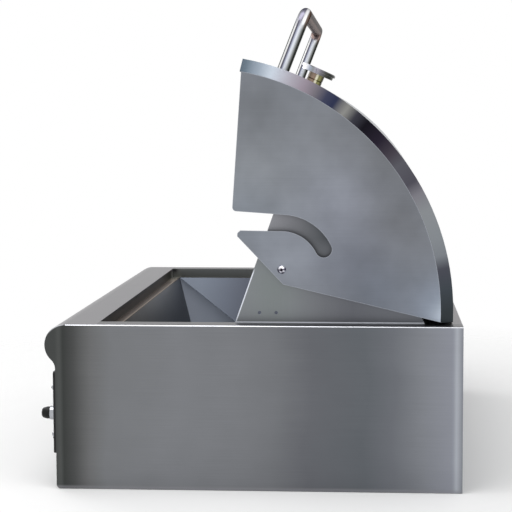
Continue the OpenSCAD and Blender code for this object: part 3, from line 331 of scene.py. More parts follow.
def sideColour(tree, place, normal):
    look = sideLook
    share = useGroup(tree, along, Place=place, Start=(0, -cabinetBack, 0), Way=(0, 1, 0),
                     Length=2 * cabinetBack)["Share"]
    # painted reflection and shade: dark at the front, lighter towards the back
    outer = ramp(tree, strayShare(tree, place, share), look["wall"])
    up, out, height = pick(tree, normal, "Z"), unsigned(tree, normal, "X"), pick(tree, place, "Z")
    # painted reflection on up-facing faces, then painted highlights on the fold, the hem and the foot
    outer = paint(tree, spread(tree, up, *look["rimFacing"]), outer, look["rim"])
    slant = times(tree, calc(tree, "ADD", out, up), math.sqrt(0.5))
    outer = paint(tree, spread(tree, slant, *look["foldFacing"]), outer, look["fold"])
    fromBull = useGroup(tree, around, Place=place, Centre=look["bullnose"])["Distance"]
    hem = times(tree, spread(tree, fromBull, *look["hemRadius"]),
                spread(tree, pick(tree, place, "Y"), *look["hemFront"]),
                spread(tree, height, *look["hemTop"]))
    outer = paint(tree, hem, outer, look["fold"])
    foot = times(tree, spread(tree, height, *look["footHeight"]), look["footShare"])
    outer = paint(tree, foot, outer, look["foot"])
    lip = ramp(tree, lipShare(tree, place), look["lip"])
    # painted shadow in the far corner's gap
    lip = paint(tree, placeMask(tree, place, look, "cornerShadow"), lip, look["cornerShadow"])
    return blendColour(tree, spread(tree, unsigned(tree, place, "X"), *look["lipSide"]), outer, lip)


frontLook = {
    # bullnose: painted reflection, by how far a face looks up
    "bullnose": [(0, "4a4a4c"), (0.5, "626264"), (0.72, "767476"), (0.9, "6b696b"), (1, "68666a")],
    "lip": [(0, "1d1610"), (0.3, "3a332d"), (0.6, "58534e"), (1, "6c6967")], "lipFacing": (0.5, 0.9),
    "glint": "ffffff", "glintPlace": (0.007 - rimInside, lipInside, 0.239), "glintSize": 0.012,
    "glintSqueeze": (1, 1, 0.5),
}


def halved(tree, value):  # from -1..1 to 0..1
    return times(tree, calc(tree, "ADD", value, 1.0), 0.5)


def frontColour(tree, place, normal):
    look = frontLook
    # painted reflection by facing
    outer = ramp(tree, halved(tree, pick(tree, normal, "Z")), look["bullnose"])
    lip = ramp(tree, lipShare(tree, place), look["lip"])
    lip = paint(tree, placeMask(tree, place, look, "glint"), lip, look["glint"])
    return blendColour(tree, spread(tree, pick(tree, normal, "Y"), *look["lipFacing"]), outer, lip)


hopperLook = {
    "crease": 0.003,                     # how softly one wall's colour runs into the next
    # Painted reflection and shade on the walls: the front wall's tones across it, the walls' tones by the way they
    # face with dark crease lines, a brighter facet, and darker towards the rear.
    "front": [(0, "7d828c"), (0.2, "6b7079"), (0.45, "555b64"), (0.75, "474a50"), (1, "3a3838")],
    "frontAcross": (-0.34, 0.2), "frontTurn": (0.06, 0.2),
    "turn": [(0, "565a62"), (0.14, "5b6068"), (0.26, "858b96"), (0.36, "7a808b"), (0.55, "787e8a"),
             (0.64, "565c68"), (0.72, "444a56"), (0.8, "4f545f"), (0.9, "5b6069"), (1, "5a606a")],
    "facet": "9097a3", "facetTurn": (0.22, 0.3), "facetEnd": (0.6, 0.52), "facetDepth": (-0.21, -0.15),
    "facetShare": 0.5,
    "rear": "454851", "rearDepth": (-0.18, -0.09), "rearTurn": (0.7, 0.9), "rearShare": 0.9,
    "soot": "4a4038", "sootPlace": (-0.2, -0.2, 0.2), "sootSize": 0.05, "sootSqueeze": (0.35, 1, 1),
    "sootShare": 0.15,
    # the pale far end of the ledge is a painted highlight
    "ledge": [(0, "a8a8a0"), (0.06, "8b8478"), (0.14, "4a3a2e"), (0.4, "402e22"), (1, "42342a")],
    "ledgeAcross": (-0.35, 0.3), "ledgeFacing": (0.9, 0.98),
    "brink": "8d7f70", "brinkDepth": (-0.2298, -0.2276), "brinkShare": 0.6,
    "least": 0.001,                      # keeps a level face's turn from a division by 0
}


def hopperColour(tree, place, normal):
    look = hopperLook
    rounding = addNode(tree, "ShaderNodeBevel", samples=effectLook["bevelSamples"])
    rounding.inputs["Radius"].default_value = look["crease"]
    nx, ny = unsigned(tree, rounding.outputs[0], "X"), unsigned(tree, rounding.outputs[0], "Y")
    # 0 on the front and rear walls, 1 on a side wall, between them on a facet
    turn = calc(tree, "DIVIDE", nx, calc(tree, "ADD", calc(tree, "ADD", nx, ny), look["least"]))
    across, depth = pick(tree, place, "X"), pick(tree, place, "Y")
    # painted reflection and shade on the walls
    front = ramp(tree, spread(tree, across, *look["frontAcross"]), look["front"])
    wall = blendColour(tree, spread(tree, turn, *look["frontTurn"]), front, ramp(tree, turn, look["turn"]))
    facet = times(tree, spread(tree, turn, *look["facetTurn"]), spread(tree, turn, *look["facetEnd"]),
                  spread(tree, depth, *look["facetDepth"]), look["facetShare"])
    wall = paint(tree, facet, wall, look["facet"])
    rear = times(tree, spread(tree, depth, *look["rearDepth"]), look["rearShare"],
                 spread(tree, turn, *look["rearTurn"]))
    wall = paint(tree, rear, wall, look["rear"])
    soot = times(tree, placeMask(tree, place, look, "soot"), look["sootShare"])
    wall = paint(tree, soot, wall, look["soot"])
    ledge = ramp(tree, spread(tree, across, *look["ledgeAcross"]), look["ledge"])
    brink = times(tree, spread(tree, depth, *look["brinkDepth"]), look["brinkShare"])
    ledge = paint(tree, brink, ledge, look["brink"])
    return blendColour(tree, spread(tree, pick(tree, normal, "Z"), *look["ledgeFacing"]), wall, ledge)


uprightLook = {
    # Painted reflection and shade along the plate, lighter at the front and darker behind.
    "plate": [(0, "828589"), (0.3, "7f8286"), (0.47, "717378"), (0.62, "67696f"), (1, "74777d")],
    "plateFront": -0.04, "plateDepth": 0.29,
    "green": "7a857f", "greenPlace": (rimInside, 0.02, 0.3), "greenSize": 0.04, "greenSqueeze": (1, 1, 0.7),
    "greenShare": 0.35,
    "slot": [(0, "96979c"), (0.3, "828388"), (0.8, "55585c"), (1, "4e5155")],  # painted shade under the hood, darker towards the back, seen through the hood's slot
    "slotDepth": (0.0, 0.12), "slotHeight": (0.345, 0.375),
    # edge: a painted highlight along the front edge and the foot; inner: painted shade on the faces that look
    # inwards
    "edge": "dfe3ec", "edgeFoot": (0.0, -0.0364, rimTop), "lean": 0.3555, "edgeReach": 0.01,
    "edgeWidth": (0.2, 0.14), "edgeHeight": (0.33, 0.322),
    "footHeight": (rimTop + 0.0018, rimTop + 0.0012),
    "inner": "3a3e42",
}


def uprightColour(tree, place, normal):
    look = uprightLook
    height = pick(tree, place, "Z")
    share = useGroup(tree, along, Place=place, Start=(0, look["plateFront"], 0), Way=(0, 1, 0),
                     Length=look["plateDepth"])["Share"]
    green = times(tree, placeMask(tree, place, look, "green"), look["greenShare"])
    plate = paint(tree, green, ramp(tree, share, look["plate"]), look["green"])
    slot = ramp(tree, spread(tree, pick(tree, place, "Y"), *look["slotDepth"]), look["slot"])
    plate = blendColour(tree, spread(tree, height, *look["slotHeight"]), plate, slot)
    slope = math.hypot(1, look["lean"])
    behind = useGroup(tree, along, Place=place, Start=look["edgeFoot"], Length=look["edgeReach"],
                      Way=(0, 1 / slope, -look["lean"] / slope))["Share"]
    # painted highlight along the front edge
    edge = times(tree, spread(tree, behind, *look["edgeWidth"]), spread(tree, height, *look["edgeHeight"]))
    # painted shade on the inward faces
    plate = paint(tree, useGroup(tree, inward, Place=place, Normal=normal)["Mask"], plate, look["inner"])
    edge = calc(tree, "MAXIMUM", edge, spread(tree, height, *look["footHeight"]))
    return paint(tree, edge, plate, look["edge"])


hoodLook = {
    "centre": (0, -0.0907, 0.2673),      # middle of the hood's arc while it is open
    "outside": "7b7f85", "inside": "a9acb1", "outFacing": (0.05, -0.05), "side": "7e8289",
}

# Painted reflections and painted shade on the hood's sides: y and z in metres, reach, strength, colour
hoodSpots = [(0.145, 0.42, 0.075, 0.75, "9a9eaa"), (-0.01, 0.49, 0.07, 0.6, "8f9398"),
             (0.03, 0.35, 0.06, 0.7, "9499a3"), (0.2, 0.5, 0.07, 0.75, "696b6e"),
             (0.205, 0.4, 0.055, 0.75, "6a6c70"), (0.135, 0.335, 0.06, 0.6, "6c707b"),
             (0.0, 0.575, 0.045, 0.6, "6c6f73"), (0.1, 0.53, 0.05, 0.35, "76787c"),
             (0.27, 0.27, 0.05, 0.6, "8b96a8"), (0.18, 0.29, 0.05, 0.7, "6a707b"),
             (0.283, 0.262, 0.022, 0.85, "c2ccd8"), (-0.02, 0.41, 0.05, 0.4, "7d858e")]


def hoodSideColour(tree, place, normal):
    mask = useGroup(tree, inward, Place=place, Normal=normal)["Mask"]
    colour = paint(tree, mask, tint(hoodLook["side"]), hoodLook["inside"])
    # painted reflections and shade
    for y, z, reach, strength, code in hoodSpots:
        mask = useGroup(tree, spot, Place=place, Centre=(0, y, z), Squeeze=(0, 1, 1), Radius=reach)["Mask"]
        colour = paint(tree, times(tree, mask, strength), colour, code)
    return colour


def skinColour(tree, place, normal):
    outward = vectorCalc(tree, "SUBTRACT", place, hoodLook["centre"])
    facing = dot(tree, vectorCalc(tree, "MULTIPLY", outward, (0, 1, 1)), normal)
    inner = spread(tree, facing, *hoodLook["outFacing"])
    return paint(tree, inner, tint(hoodLook["outside"]), hoodLook["inside"])


bevelLook = {
    "turn": 95.0,                        # painted reflection bands by the angle about the hood's arc, in degrees
    "band": [(0, "353a3d"), (5, "3e444a"), (10, "42434b"), (13, "676b70"), (17, "6a6e72"), (24, "6a6d70"),
             (28, "605f65"), (31, "3c3b42"), (36, "44444a"), (39, "363239"), (43, "201c26"), (48, "131218"),
             (51, "36363e"), (53.5, "82827f"), (55, "6a6a6c"), (56.5, "2c314a"), (59, "3e4156"),
             (61.5, "706c74"), (64.5, "8f8590"), (68.5, "a09ea8"), (72.5, "a4acb6"), (75.5, "727b85"),
             (78.5, "465059"), (80, "3c444c")],
}


def bevelColour(tree, place, normal):
    angle = useGroup(tree, around, Place=place, Centre=hoodLook["centre"])["Angle"]
    share = spread(tree, angle, 0.0, math.radians(bevelLook["turn"]))
    # painted reflections
    return ramp(tree, share, [(a / bevelLook["turn"], code) for a, code in bevelLook["band"]])


handleLook = {
    "lean": 21.5,                        # degrees that the posts lean back
    "barPlace": (0, 0.0621, 0.7184),
    # Painted reflections round the chrome tube: post by facing, bend near the top, under for faces that look down.
    "post": [(0, "464746"), (0.08, "646664"), (0.13, "e8e8e8"), (0.2, "f0f0f0"), (0.25, "56565e"),
             (0.33, "5c5c6c"), (0.42, "b4b8ca"), (0.5, "eef2fa"), (0.6, "dde1e8"), (0.7, "a6a9ac"),
             (0.8, "6c6e6c"), (0.88, "2e302c"), (0.94, "242624"), (0.965, "5c5e5c"), (1, "8e908e")],
    "bend": [(0, "84848c"), (0.12, "a4a4ac"), (0.24, "6e6c7a"), (0.48, "74727f"), (0.6, "f0f0f2"),
             (0.72, "f4f4f6"), (0.82, "7a6c64"), (1, "5a4c46")],
    "bendHeight": (-0.026, -0.01),
    "under": "b09a93", "underFacing": (0.12, 0.4),
}


def handleColour(tree, place, normal):
    look = handleLook
    lean = math.radians(look["lean"])
    up = Vector((0, math.sin(lean), math.cos(lean)))
    share = halved(tree, dot(tree, normal, (0, math.cos(lean), -math.sin(lean))))
    height = dot(tree, vectorCalc(tree, "SUBTRACT", place, look["barPlace"]), tuple(up))
    # painted reflections and highlights
    tube = blendColour(tree, spread(tree, height, *look["bendHeight"]), ramp(tree, share, look["post"]),
                       ramp(tree, share, look["bend"]))
    return paint(tree, spread(tree, dot(tree, normal, tuple(-up)), *look["underFacing"]), tube, look["under"])


gaugePlace = Vector(joints["needle_turn"]["pos_m"])
gaugeOut = Vector(joints["needle_turn"]["axis"]).normalized()
gaugeUp = Vector((0, gaugeOut.z, -gaugeOut.y))  # up on the dial, which points back while the hood is open
gaugeLook = {
    "caseRadius": 0.031,
    # Painted reflections across the case and the brass boss, from the dial's bottom to its top.
    "case": [(0, "e8e9f0"), (0.16, "f6f6fa"), (0.26, "aab2c2"), (0.36, "8e9296"), (0.46, "b2aebb"),
             (0.6, "77757c"), (0.74, "4a4b46"), (0.86, "2c2e2a"), (1, "3a3c38")],
    "bossRadius": 0.014,
    "boss": [(0, "2c2620"), (0.1, "5a5044"), (0.3, "8c7a6c"), (0.48, "a08a78"), (0.56, "f4f0d8"),
             (0.64, "d8d4b8"), (0.7, "75744a"), (0.8, "8c8a5c"), (0.92, "44422a"), (1, "1c1a12")],
}


def gaugeColour(part):
    radius = gaugeLook[part + "Radius"]

    def colour(tree, place, normal):
        share = useGroup(tree, along, Place=place, Start=tuple(gaugePlace - gaugeUp * radius),
                         Way=tuple(gaugeUp), Length=2 * radius)["Share"]
        # painted reflections
        return ramp(tree, share, gaugeLook[part])
    return colour


pivotLook = {
    "dome": [(0, "39364a"), (0.08, "8a8894"), (0.2, "dcdce6"), (0.3, "6c6878"), (0.42, "e6e6ee"),
             (0.5, "4a4658"), (0.56, "4a4658"), (0.64, "f6f6fa"), (0.72, "fafafc"), (0.8, "8b8796"),
             (0.88, "f4f4fa"), (1, "39364a")],  # painted highlights and reflections, once around the screw's head
    # socket: painted shadow in the screw's socket
    "socket": "120f1a", "socketRadius": (0.0026, 0.0017),
}


def pivotColour(tree, place, normal):
    screw = useGroup(tree, around, Place=place, Centre=hoodPivot)
    dome = ramp(tree, spread(tree, screw["Angle"], -math.pi, math.pi), pivotLook["dome"])
    # painted highlights round the head, painted shadow in the socket
    return paint(tree, spread(tree, screw["Distance"], *pivotLook["socketRadius"]), dome, pivotLook["socket"])


finish("sideSheet", sideColour, squeeze=depthGrain, lines=0.16, patches=0.14, patchSize=16, rough=0.36,
       bump=0.25)
finish("frontSheet", frontColour, squeeze=acrossGrain, lines=0.08, patchSize=14)
finish("deckSheet", "6a676a", squeeze=acrossGrain, glint=0.5)
finish("traySheet", "77797c", squeeze=acrossGrain, patches=0.08, glint=0.5)
finish("hopperSheet", hopperColour, lines=0.06, patches=0.22, patchSize=11, rough=0.42)
finish("uprightSheet", uprightColour, lines=0.08, patches=0.16, patchSize=12, rough=0.4)
finish("backSheet", "a4a7ac", squeeze=acrossGrain, patches=0.2, rough=0.5, glint=0.4)
finish("hoodSheet", skinColour, squeeze=acrossGrain, patches=0.15, rough=0.3)
finish("hoodSideSheet", hoodSideColour, squeeze=depthGrain, lines=0.12, patches=0.5, patchSize=18, rough=0.4,
       glint=0.5, glintColour="c9cdd6", glintWidth=0.0016)
finish("mirrorBevel", bevelColour, squeeze=evenGrain, lines=0.03, patches=0.12, patchSize=30, rough=0.3,
       bump=0.05)
finish("chromeTube", handleColour, squeeze=evenGrain, lines=0.02, patches=0.06, rough=0.3, bump=0.04,
       edgeTint=0.25)
finish("gaugeCase", gaugeColour("case"), squeeze=evenGrain, lines=0.03, rough=0.16, bump=0.05, glint=0.4,
       glintWidth=0.0006)
finish("gaugeBrass", gaugeColour("boss"), squeeze=evenGrain, lines=0.12, patches=0.2, patchSize=60,
       rough=0.26)
finish("pivotChrome", pivotColour, squeeze=evenGrain, lines=0.02, patches=0.05, rough=0.14, bump=0.03)
finish("smallChrome", "a9abb0", squeeze=evenGrain, lines=0.04, patches=0.2, patchSize=60, rough=0.16,
       glint=0.5)
finish("galvanised", "8d9093", squeeze=(160, 160, 160), lines=0.25, patches=0.2, patchSize=40, rough=0.5,
       bump=0.4)
finish("heatStained", "7d7264", squeeze=(120, 120, 120), lines=0.3, patches=0.35, patchSize=16, rough=0.44)
finish("grateSteel", "7c7d80", squeeze=evenGrain, patches=0.25, patchSize=30)
finish("pipeSteel", "34363a", metallic=0.0, squeeze=evenGrain, lines=0.3, patches=0.2, rough=0.5)
finish("plainBrass", "a58f4c", squeeze=evenGrain, lines=0.12, patches=0.25, patchSize=50, rough=0.3)
finish("blackEnamel", "0f0f12", metallic=0.0, squeeze=evenGrain, patches=0.2, rough=0.3, coat=0.1, bump=0.05,
       shine=0.3)
finish("blackPlastic", "0d0d0e", metallic=0.0, squeeze=(1500, 1500, 1500), lines=0.3, patches=0.2, rough=0.4,
       bump=0.5, shine=0.25)
finish("blackRubber", "141415", metallic=0.0, squeeze=(900, 900, 900), lines=0.3, patches=0.2, rough=0.75,
       bump=0.6)
finish("ceramic", "ddd7cb", metallic=0.0, squeeze=evenGrain, lines=0.06, rough=0.3, coat=0.4, bump=0.05)
finish("dialWhite", "e6e6e2", metallic=0.0, squeeze=evenGrain, lines=0.02, patches=0.04, rough=0.4, bump=0.02)
finish("needleRed", "b8342c", metallic=0.0, squeeze=evenGrain, lines=0.05, patches=0.05, rough=0.4, bump=0.02)
finish("dialInk", "1e1e20", metallic=0.0, squeeze=(2500, 2500, 2500), lines=0.15, patches=0.05, rough=0.5,
       bump=0.05)
finish("whitePaint", "d9d9d6", metallic=0.0, squeeze=(2500, 2500, 2500), patches=0.05, rough=0.5, bump=0.1)
glass = finish("clearGlass", "f4f6f7", metallic=0.0, squeeze=evenGrain, lines=0.0, patches=0.02, rough=0.03,
               bump=0.0)
glass.node_tree.nodes["Principled BSDF"].inputs["Transmission Weight"].default_value = 1.0

slotLooks = {
    "brushed_sheet": "sideSheet", "hood_sheet": "hoodSideSheet", "satin_sheet": "hopperSheet",
    "galvanised_sheet": "galvanised", "heat_stained_sheet": "heatStained", "polished_steel": "smallChrome",
    "grate_steel": "grateSteel", "pipe_steel": "pipeSteel", "brass": "plainBrass",
    "black_enamel": "blackEnamel", "black_plastic": "blackPlastic", "black_rubber": "blackRubber",
    "ceramic": "ceramic", "dial_white": "dialWhite", "clear_glass": "clearGlass",
    "needle_red": "needleRed",
}
nodeLooks = {
    "front_fascia": "frontSheet", "rear_deck": "deckSheet", "tray_front": "traySheet",
    "drip_tray": "backSheet", "back_wall": "backSheet", "upright_left": "uprightSheet",
    "upright_right": "uprightSheet",
    "hood_skin": "hoodSheet", "hood_bevels": "mirrorBevel", "handle": "chromeTube",
    "thermometer_case": "gaugeCase", "thermometer_boss": "gaugeBrass", "pivot_screws": "pivotChrome",
}
for part in frame["record"]["subparts"]:
    mesh = nodes[part["node"]].data
    mesh.materials.clear()
    mesh.materials.append(finishes[nodeLooks.get(part["node"], slotLooks[part["material_slot"]])])
print("finishes given to the nodes:", len(finishes))


def endTree(tree, instances, material, target):
    real = addNode(tree, "GeometryNodeRealizeInstances")
    feed(tree, real.inputs["Geometry"], instances)
    painted = addNode(tree, "GeometryNodeSetMaterial")
    feed(tree, painted.inputs["Geometry"], real.outputs["Geometry"])
    feed(tree, painted.inputs["Material"], material)
    feed(tree, target, painted.outputs["Geometry"])


# Copies of one small shape round a circle: dial marks and grip ribs
ringInputs = [("Shape", "Object", None), ("Count", "Int", 28), ("Radius", "Float", 0.02),
              ("Start", "Float", 0.0), ("Turn", "Float", 2 * math.pi), ("Finish", "Material", None)]
ringTree, cIn, cOut = newTree("ringOfCopies", "GeometryNodeTree", ringInputs, [("Geometry", "Geometry")])
points = addNode(ringTree, "GeometryNodePoints")
feed(ringTree, points.inputs["Count"], cIn["Count"])
number = addNode(ringTree, "GeometryNodeInputIndex").outputs[0]
step = calc(ringTree, "DIVIDE", cIn["Turn"], calc(ringTree, "SUBTRACT", cIn["Count"], 1.0))
angle = calc(ringTree, "ADD", times(ringTree, number, step), cIn["Start"])
ringPlace = addNode(ringTree, "ShaderNodeCombineXYZ")
feed(ringTree, ringPlace.inputs[0], times(ringTree, calc(ringTree, "SINE", angle), cIn["Radius"]))
feed(ringTree, ringPlace.inputs[1], times(ringTree, calc(ringTree, "COSINE", angle), cIn["Radius"]))
feed(ringTree, points.inputs["Position"], ringPlace.outputs[0])
ringShape = addNode(ringTree, "GeometryNodeObjectInfo")
feed(ringTree, ringShape.inputs["Object"], cIn["Shape"])
ringTurn = addNode(ringTree, "ShaderNodeCombineXYZ")
feed(ringTree, ringTurn.inputs[2], times(ringTree, angle, -1.0))
placed = addNode(ringTree, "GeometryNodeInstanceOnPoints")
feed(ringTree, placed.inputs["Points"], points.outputs[0])
feed(ringTree, placed.inputs["Instance"], ringShape.outputs["Geometry"])
feed(ringTree, placed.inputs["Rotation"], ringTurn.outputs[0])
endTree(ringTree, placed.outputs["Instances"], cIn["Finish"], cOut["Geometry"])

# Copies of one small shape on an upright grid, with a gap left free: louvre hoods
gridInputs = [("Shape", "Object", None), ("Columns", "Int", 9), ("Rows", "Int", 3), ("Width", "Float", 0.5),
              ("Height", "Float", 0.03), ("Leave Out", "Float", -0.33), ("Gap", "Float", 0.046),
              ("Finish", "Material", None)]
gridTree, dIn, dOut = newTree("gridOfCopies", "GeometryNodeTree", gridInputs, [("Geometry", "Geometry")])
sheetGrid = addNode(gridTree, "GeometryNodeMeshGrid")
gridSizes = {"Vertices X": "Columns", "Vertices Y": "Rows", "Size X": "Width", "Size Y": "Height"}
for label, key in gridSizes.items():
    feed(gridTree, sheetGrid.inputs[label], dIn[key])
stood = addNode(gridTree, "GeometryNodeTransform")
stood.inputs["Rotation"].default_value = (math.pi / 2, 0, 0)
feed(gridTree, stood.inputs["Geometry"], sheetGrid.outputs["Mesh"])
gridX = pick(gridTree, addNode(gridTree, "GeometryNodeInputPosition").outputs[0], "X")
apart = calc(gridTree, "ABSOLUTE", calc(gridTree, "SUBTRACT", gridX, dIn["Leave Out"]))
keep = addNode(gridTree, "FunctionNodeCompare", data_type="FLOAT", operation="GREATER_THAN")
feed(gridTree, keep.inputs[0], apart)
feed(gridTree, keep.inputs[1], dIn["Gap"])
gridShape = addNode(gridTree, "GeometryNodeObjectInfo")
feed(gridTree, gridShape.inputs["Object"], dIn["Shape"])
gridPlaced = addNode(gridTree, "GeometryNodeInstanceOnPoints")
feed(gridTree, gridPlaced.inputs["Points"], stood.outputs["Geometry"])
feed(gridTree, gridPlaced.inputs["Selection"], keep.outputs[0])
feed(gridTree, gridPlaced.inputs["Instance"], gridShape.outputs["Geometry"])
endTree(gridTree, gridPlaced.outputs["Instances"], dIn["Finish"], dOut["Geometry"])


def addPiece(name, mesh):
    mesh.name = name
    piece = bpy.data.objects.new(name, mesh)
    bpy.context.scene.collection.objects.link(piece)
    return piece


def evaluated(obj):  # the object's mesh with all that is live on it
    bpy.context.view_layer.update()
    return bpy.data.meshes.new_from_object(obj.evaluated_get(bpy.context.evaluated_depsgraph_get()))


def runTree(name, tree, values, place):  # the tree's result as a plain mesh, moved to its place
    holder = addPiece(name + "Holder", bpy.data.meshes.new(name + "Holder"))
    mod = holder.modifiers.new("copies", "NODES")
    mod.node_group = tree
    for item in tree.interface.items_tree:
        if item.item_type == "SOCKET" and item.in_out == "INPUT" and item.name in values:
            mod[item.identifier] = values[item.name]
    mesh = evaluated(holder)
    mesh.transform(place)
    holder.modifiers.remove(mod)
    bpy.data.objects.remove(holder)
    bpy.data.objects.remove(values["Shape"])
    return addPiece(name, mesh)


def settle(piece, body):
    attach(piece, body)


def solidMesh(name, verts, faces, thick=0.0):
    mesh = bpy.data.meshes.new(name)
    mesh.from_pydata([tuple(v) for v in verts], [], faces)
    bm = bmesh.new()
    bm.from_mesh(mesh)
    if thick:
        bmesh.ops.recalc_face_normals(bm, faces=bm.faces)
        bmesh.ops.solidify(bm, geom=bm.faces, thickness=thick)
    bmesh.ops.recalc_face_normals(bm, faces=bm.faces)
    bm.to_mesh(mesh)
    bm.free()
    return mesh


def joinedMesh(name, parts, place, material):  # several meshes as one, moved to its place
    bm = bmesh.new()
    for part in parts:
        bm.from_mesh(part)
        bpy.data.meshes.remove(part)
    mesh = bpy.data.meshes.new(name)
    bm.to_mesh(mesh)
    bm.free()
    mesh.transform(place)
    mesh.materials.clear()
    mesh.materials.append(material)
    for face in mesh.polygons:
        face.material_index = 0
    return mesh


def prism(corners, low, high):  # an outline in X and Y, stood up along Z
    n = len(corners)
    verts = [(x, y, low) for x, y in corners] + [(x, y, high) for x, y in corners]
    faces = [tuple(range(n - 1, -1, -1)), tuple(range(n, 2 * n))]
    return verts, faces + [(i, (i + 1) % n, (i + 1) % n + n, i + n) for i in range(n)]


def bar(width, bottom, top, low, high):
    half = width / 2
    return prism([(-half, bottom), (half, bottom), (half, top), (-half, top)], low, high)


def axes(origin, up, out):  # from a piece's own X, Y and Z to the grill's
    return Matrix.Translation(origin) @ Matrix((up.cross(out), up, out)).transposed().to_4x4()


dialLook = {
    "radius": 0.0235, "start": -135, "turn": 270,                # degrees
    "marks": 36, "mark": (0.0004, 0.0024), "bigMarks": 8, "bigMark": (0.0008, 0.0036),
    "numberRadius": 0.0163, "numberSize": 0.0048, "numberStep": 100,
    "ink": (0.00002, 0.00012),
}
dialTop = max(v.co.dot(gaugeOut) for v in nodes["thermometer_dial"].data.vertices)
dialPlace = axes(gaugePlace + gaugeOut * (dialTop - gaugePlace.dot(gaugeOut)), gaugeUp, gaugeOut)


def addMarks(name, count, mark):
    width, length = dialLook[mark]
    shape = addPiece("mark", solidMesh("mark", *bar(width, -length, 0, *dialLook["ink"])))
    values = {"Shape": shape, "Count": count, "Radius": dialLook["radius"], "Finish": finishes["dialInk"],
              "Start": math.radians(dialLook["start"]), "Turn": math.radians(dialLook["turn"])}
    settle(runTree(name, ringTree, values, dialPlace), "hood")


def flatNumber(i):
    curve = bpy.data.curves.new("number", "FONT")
    curve.body = str((i + 1) * dialLook["numberStep"])
    curve.size = dialLook["numberSize"]
    curve.align_x, curve.align_y = "CENTER", "CENTER"
    text = bpy.data.objects.new("number", curve)
    bpy.context.scene.collection.objects.link(text)
    flat = evaluated(text)
    bpy.data.objects.remove(text)
    a = math.radians(dialLook["start"] + dialLook["turn"] * i / (dialLook["bigMarks"] - 1))
    r = dialLook["numberRadius"]
    flat.transform(Matrix.Translation((math.sin(a) * r, math.cos(a) * r, dialLook["ink"][1])))
    return flat


addMarks("dialMarks", dialLook["marks"], "mark")
addMarks("dialBigMarks", dialLook["bigMarks"], "bigMark")
numbers = [flatNumber(i) for i in range(dialLook["bigMarks"])]
numberMesh = joinedMesh("dialNumbers", numbers, dialPlace, finishes["dialInk"])
settle(addPiece("dialNumbers", numberMesh), "hood")
print("dial marked")

knobLook = {
    "ribs": 40, "rib": (0.0014, 0.0007), "skirtRadius": 0.0249, "ribDepth": (0.0012, 0.0068),
    "line": (0.0019, 0.0097, 0.0188),    # width, and its ends above the knob's middle
    "paint": (-0.0011, -0.0003),         # in the knob's groove, under the grip's face
}


def dressKnob(i):
    low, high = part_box(f"burner_knob_{i}")
    x, z = (low[0] + high[0]) / 2, (low[2] + high[2]) / 2
    up, out = Vector((0, 0, 1)), Vector((0, -1, 0))
    w, h = knobLook["rib"]
    outline = [(-w / 2, -h), (-w / 4, h), (w / 4, h), (w / 2, -h)]
    rib = addPiece("rib", solidMesh("rib", *prism(outline, *knobLook["ribDepth"])))
    turn = 2 * math.pi * (knobLook["ribs"] - 1) / knobLook["ribs"]
    values = {"Shape": rib, "Count": knobLook["ribs"], "Radius": knobLook["skirtRadius"], "Start": 0.0,
              "Turn": turn, "Finish": finishes["blackPlastic"]}
    ribs = runTree(f"knobRibs_{i}", ringTree, values, axes(Vector((x, high[1], z)), up, out))
    settle(ribs, f"knob_{i}")
    line = solidMesh(f"knobLine_{i}", *bar(*knobLook["line"], *knobLook["paint"]))
    line.transform(axes(Vector((x, low[1], z)), up, out))
    line.materials.append(finishes["whitePaint"])
    settle(addPiece(f"knobLine_{i}", line), f"knob_{i}")


for i in (1, 2, 3):
    dressKnob(i)
print("knobs dressed")

louvreLook = {
    "width": 0.052, "height": 0.009, "out": 0.004, "steps": 6, "thick": 0.0006,
    "lift": 0.0002, "drop": 0.9, "ends": 0.5,  # off the sheet, share of the height, roundness of the ends
    "columns": 9, "rows": 3, "pitchX": 0.068, "pitchZ": 0.016, "firstZ": 0.110, "gap": 0.046,
}


def louvreShape():
    look = louvreLook
    half, height, n = look["width"] / 2, look["height"], look["steps"]
    verts, faces = [], []
    for i in range(2 * n + 1):  # along X, swelling out in the middle
        swell = look["out"] * math.sin(math.pi * i / (2 * n)) ** look["ends"]
        for j in range(n + 1):  # from the top edge down to the open mouth
            a = math.pi / 2 * j / n
            verts.append((half * (i / n - 1), look["lift"] + swell * math.sin(a),
                          height / 2 - height * (1 - math.cos(a)) * look["drop"]))
    for i in range(2 * n):
        for j in range(n):
            a = i * (n + 1) + j
            faces.append((a, a + 1, a + n + 2, a + n + 1))
    return addPiece("louvre", solidMesh("louvre", verts, faces, look["thick"]))


def addLouvres():
    look = louvreLook
    inletLow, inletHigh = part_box("gas_inlet")
    rise = look["pitchZ"] * (look["rows"] - 1)
    values = {"Shape": louvreShape(), "Columns": look["columns"], "Rows": look["rows"],
              "Width": look["pitchX"] * (look["columns"] - 1), "Height": rise,
              "Leave Out": (inletLow[0] + inletHigh[0]) / 2, "Gap": look["gap"],
              "Finish": finishes["galvanised"]}
    place = Matrix.Translation((0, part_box("rear_panel")[1][1], look["firstZ"] + rise / 2))
    hoods = runTree("louvreHoods", gridTree, values, place)
    settle(hoods, "cabinet")
    return len(hoods.data.polygons)


print("louvre hoods made, faces:", addLouvres())

crossLook = {
    "arm": 0.0020, "width": 0.0008,
    "depth": (-0.0008, 0.00005),         # from inside the head to just above it
    "step": 0.03,                        # groups the vertices by place, the lower heads in two groups each
}


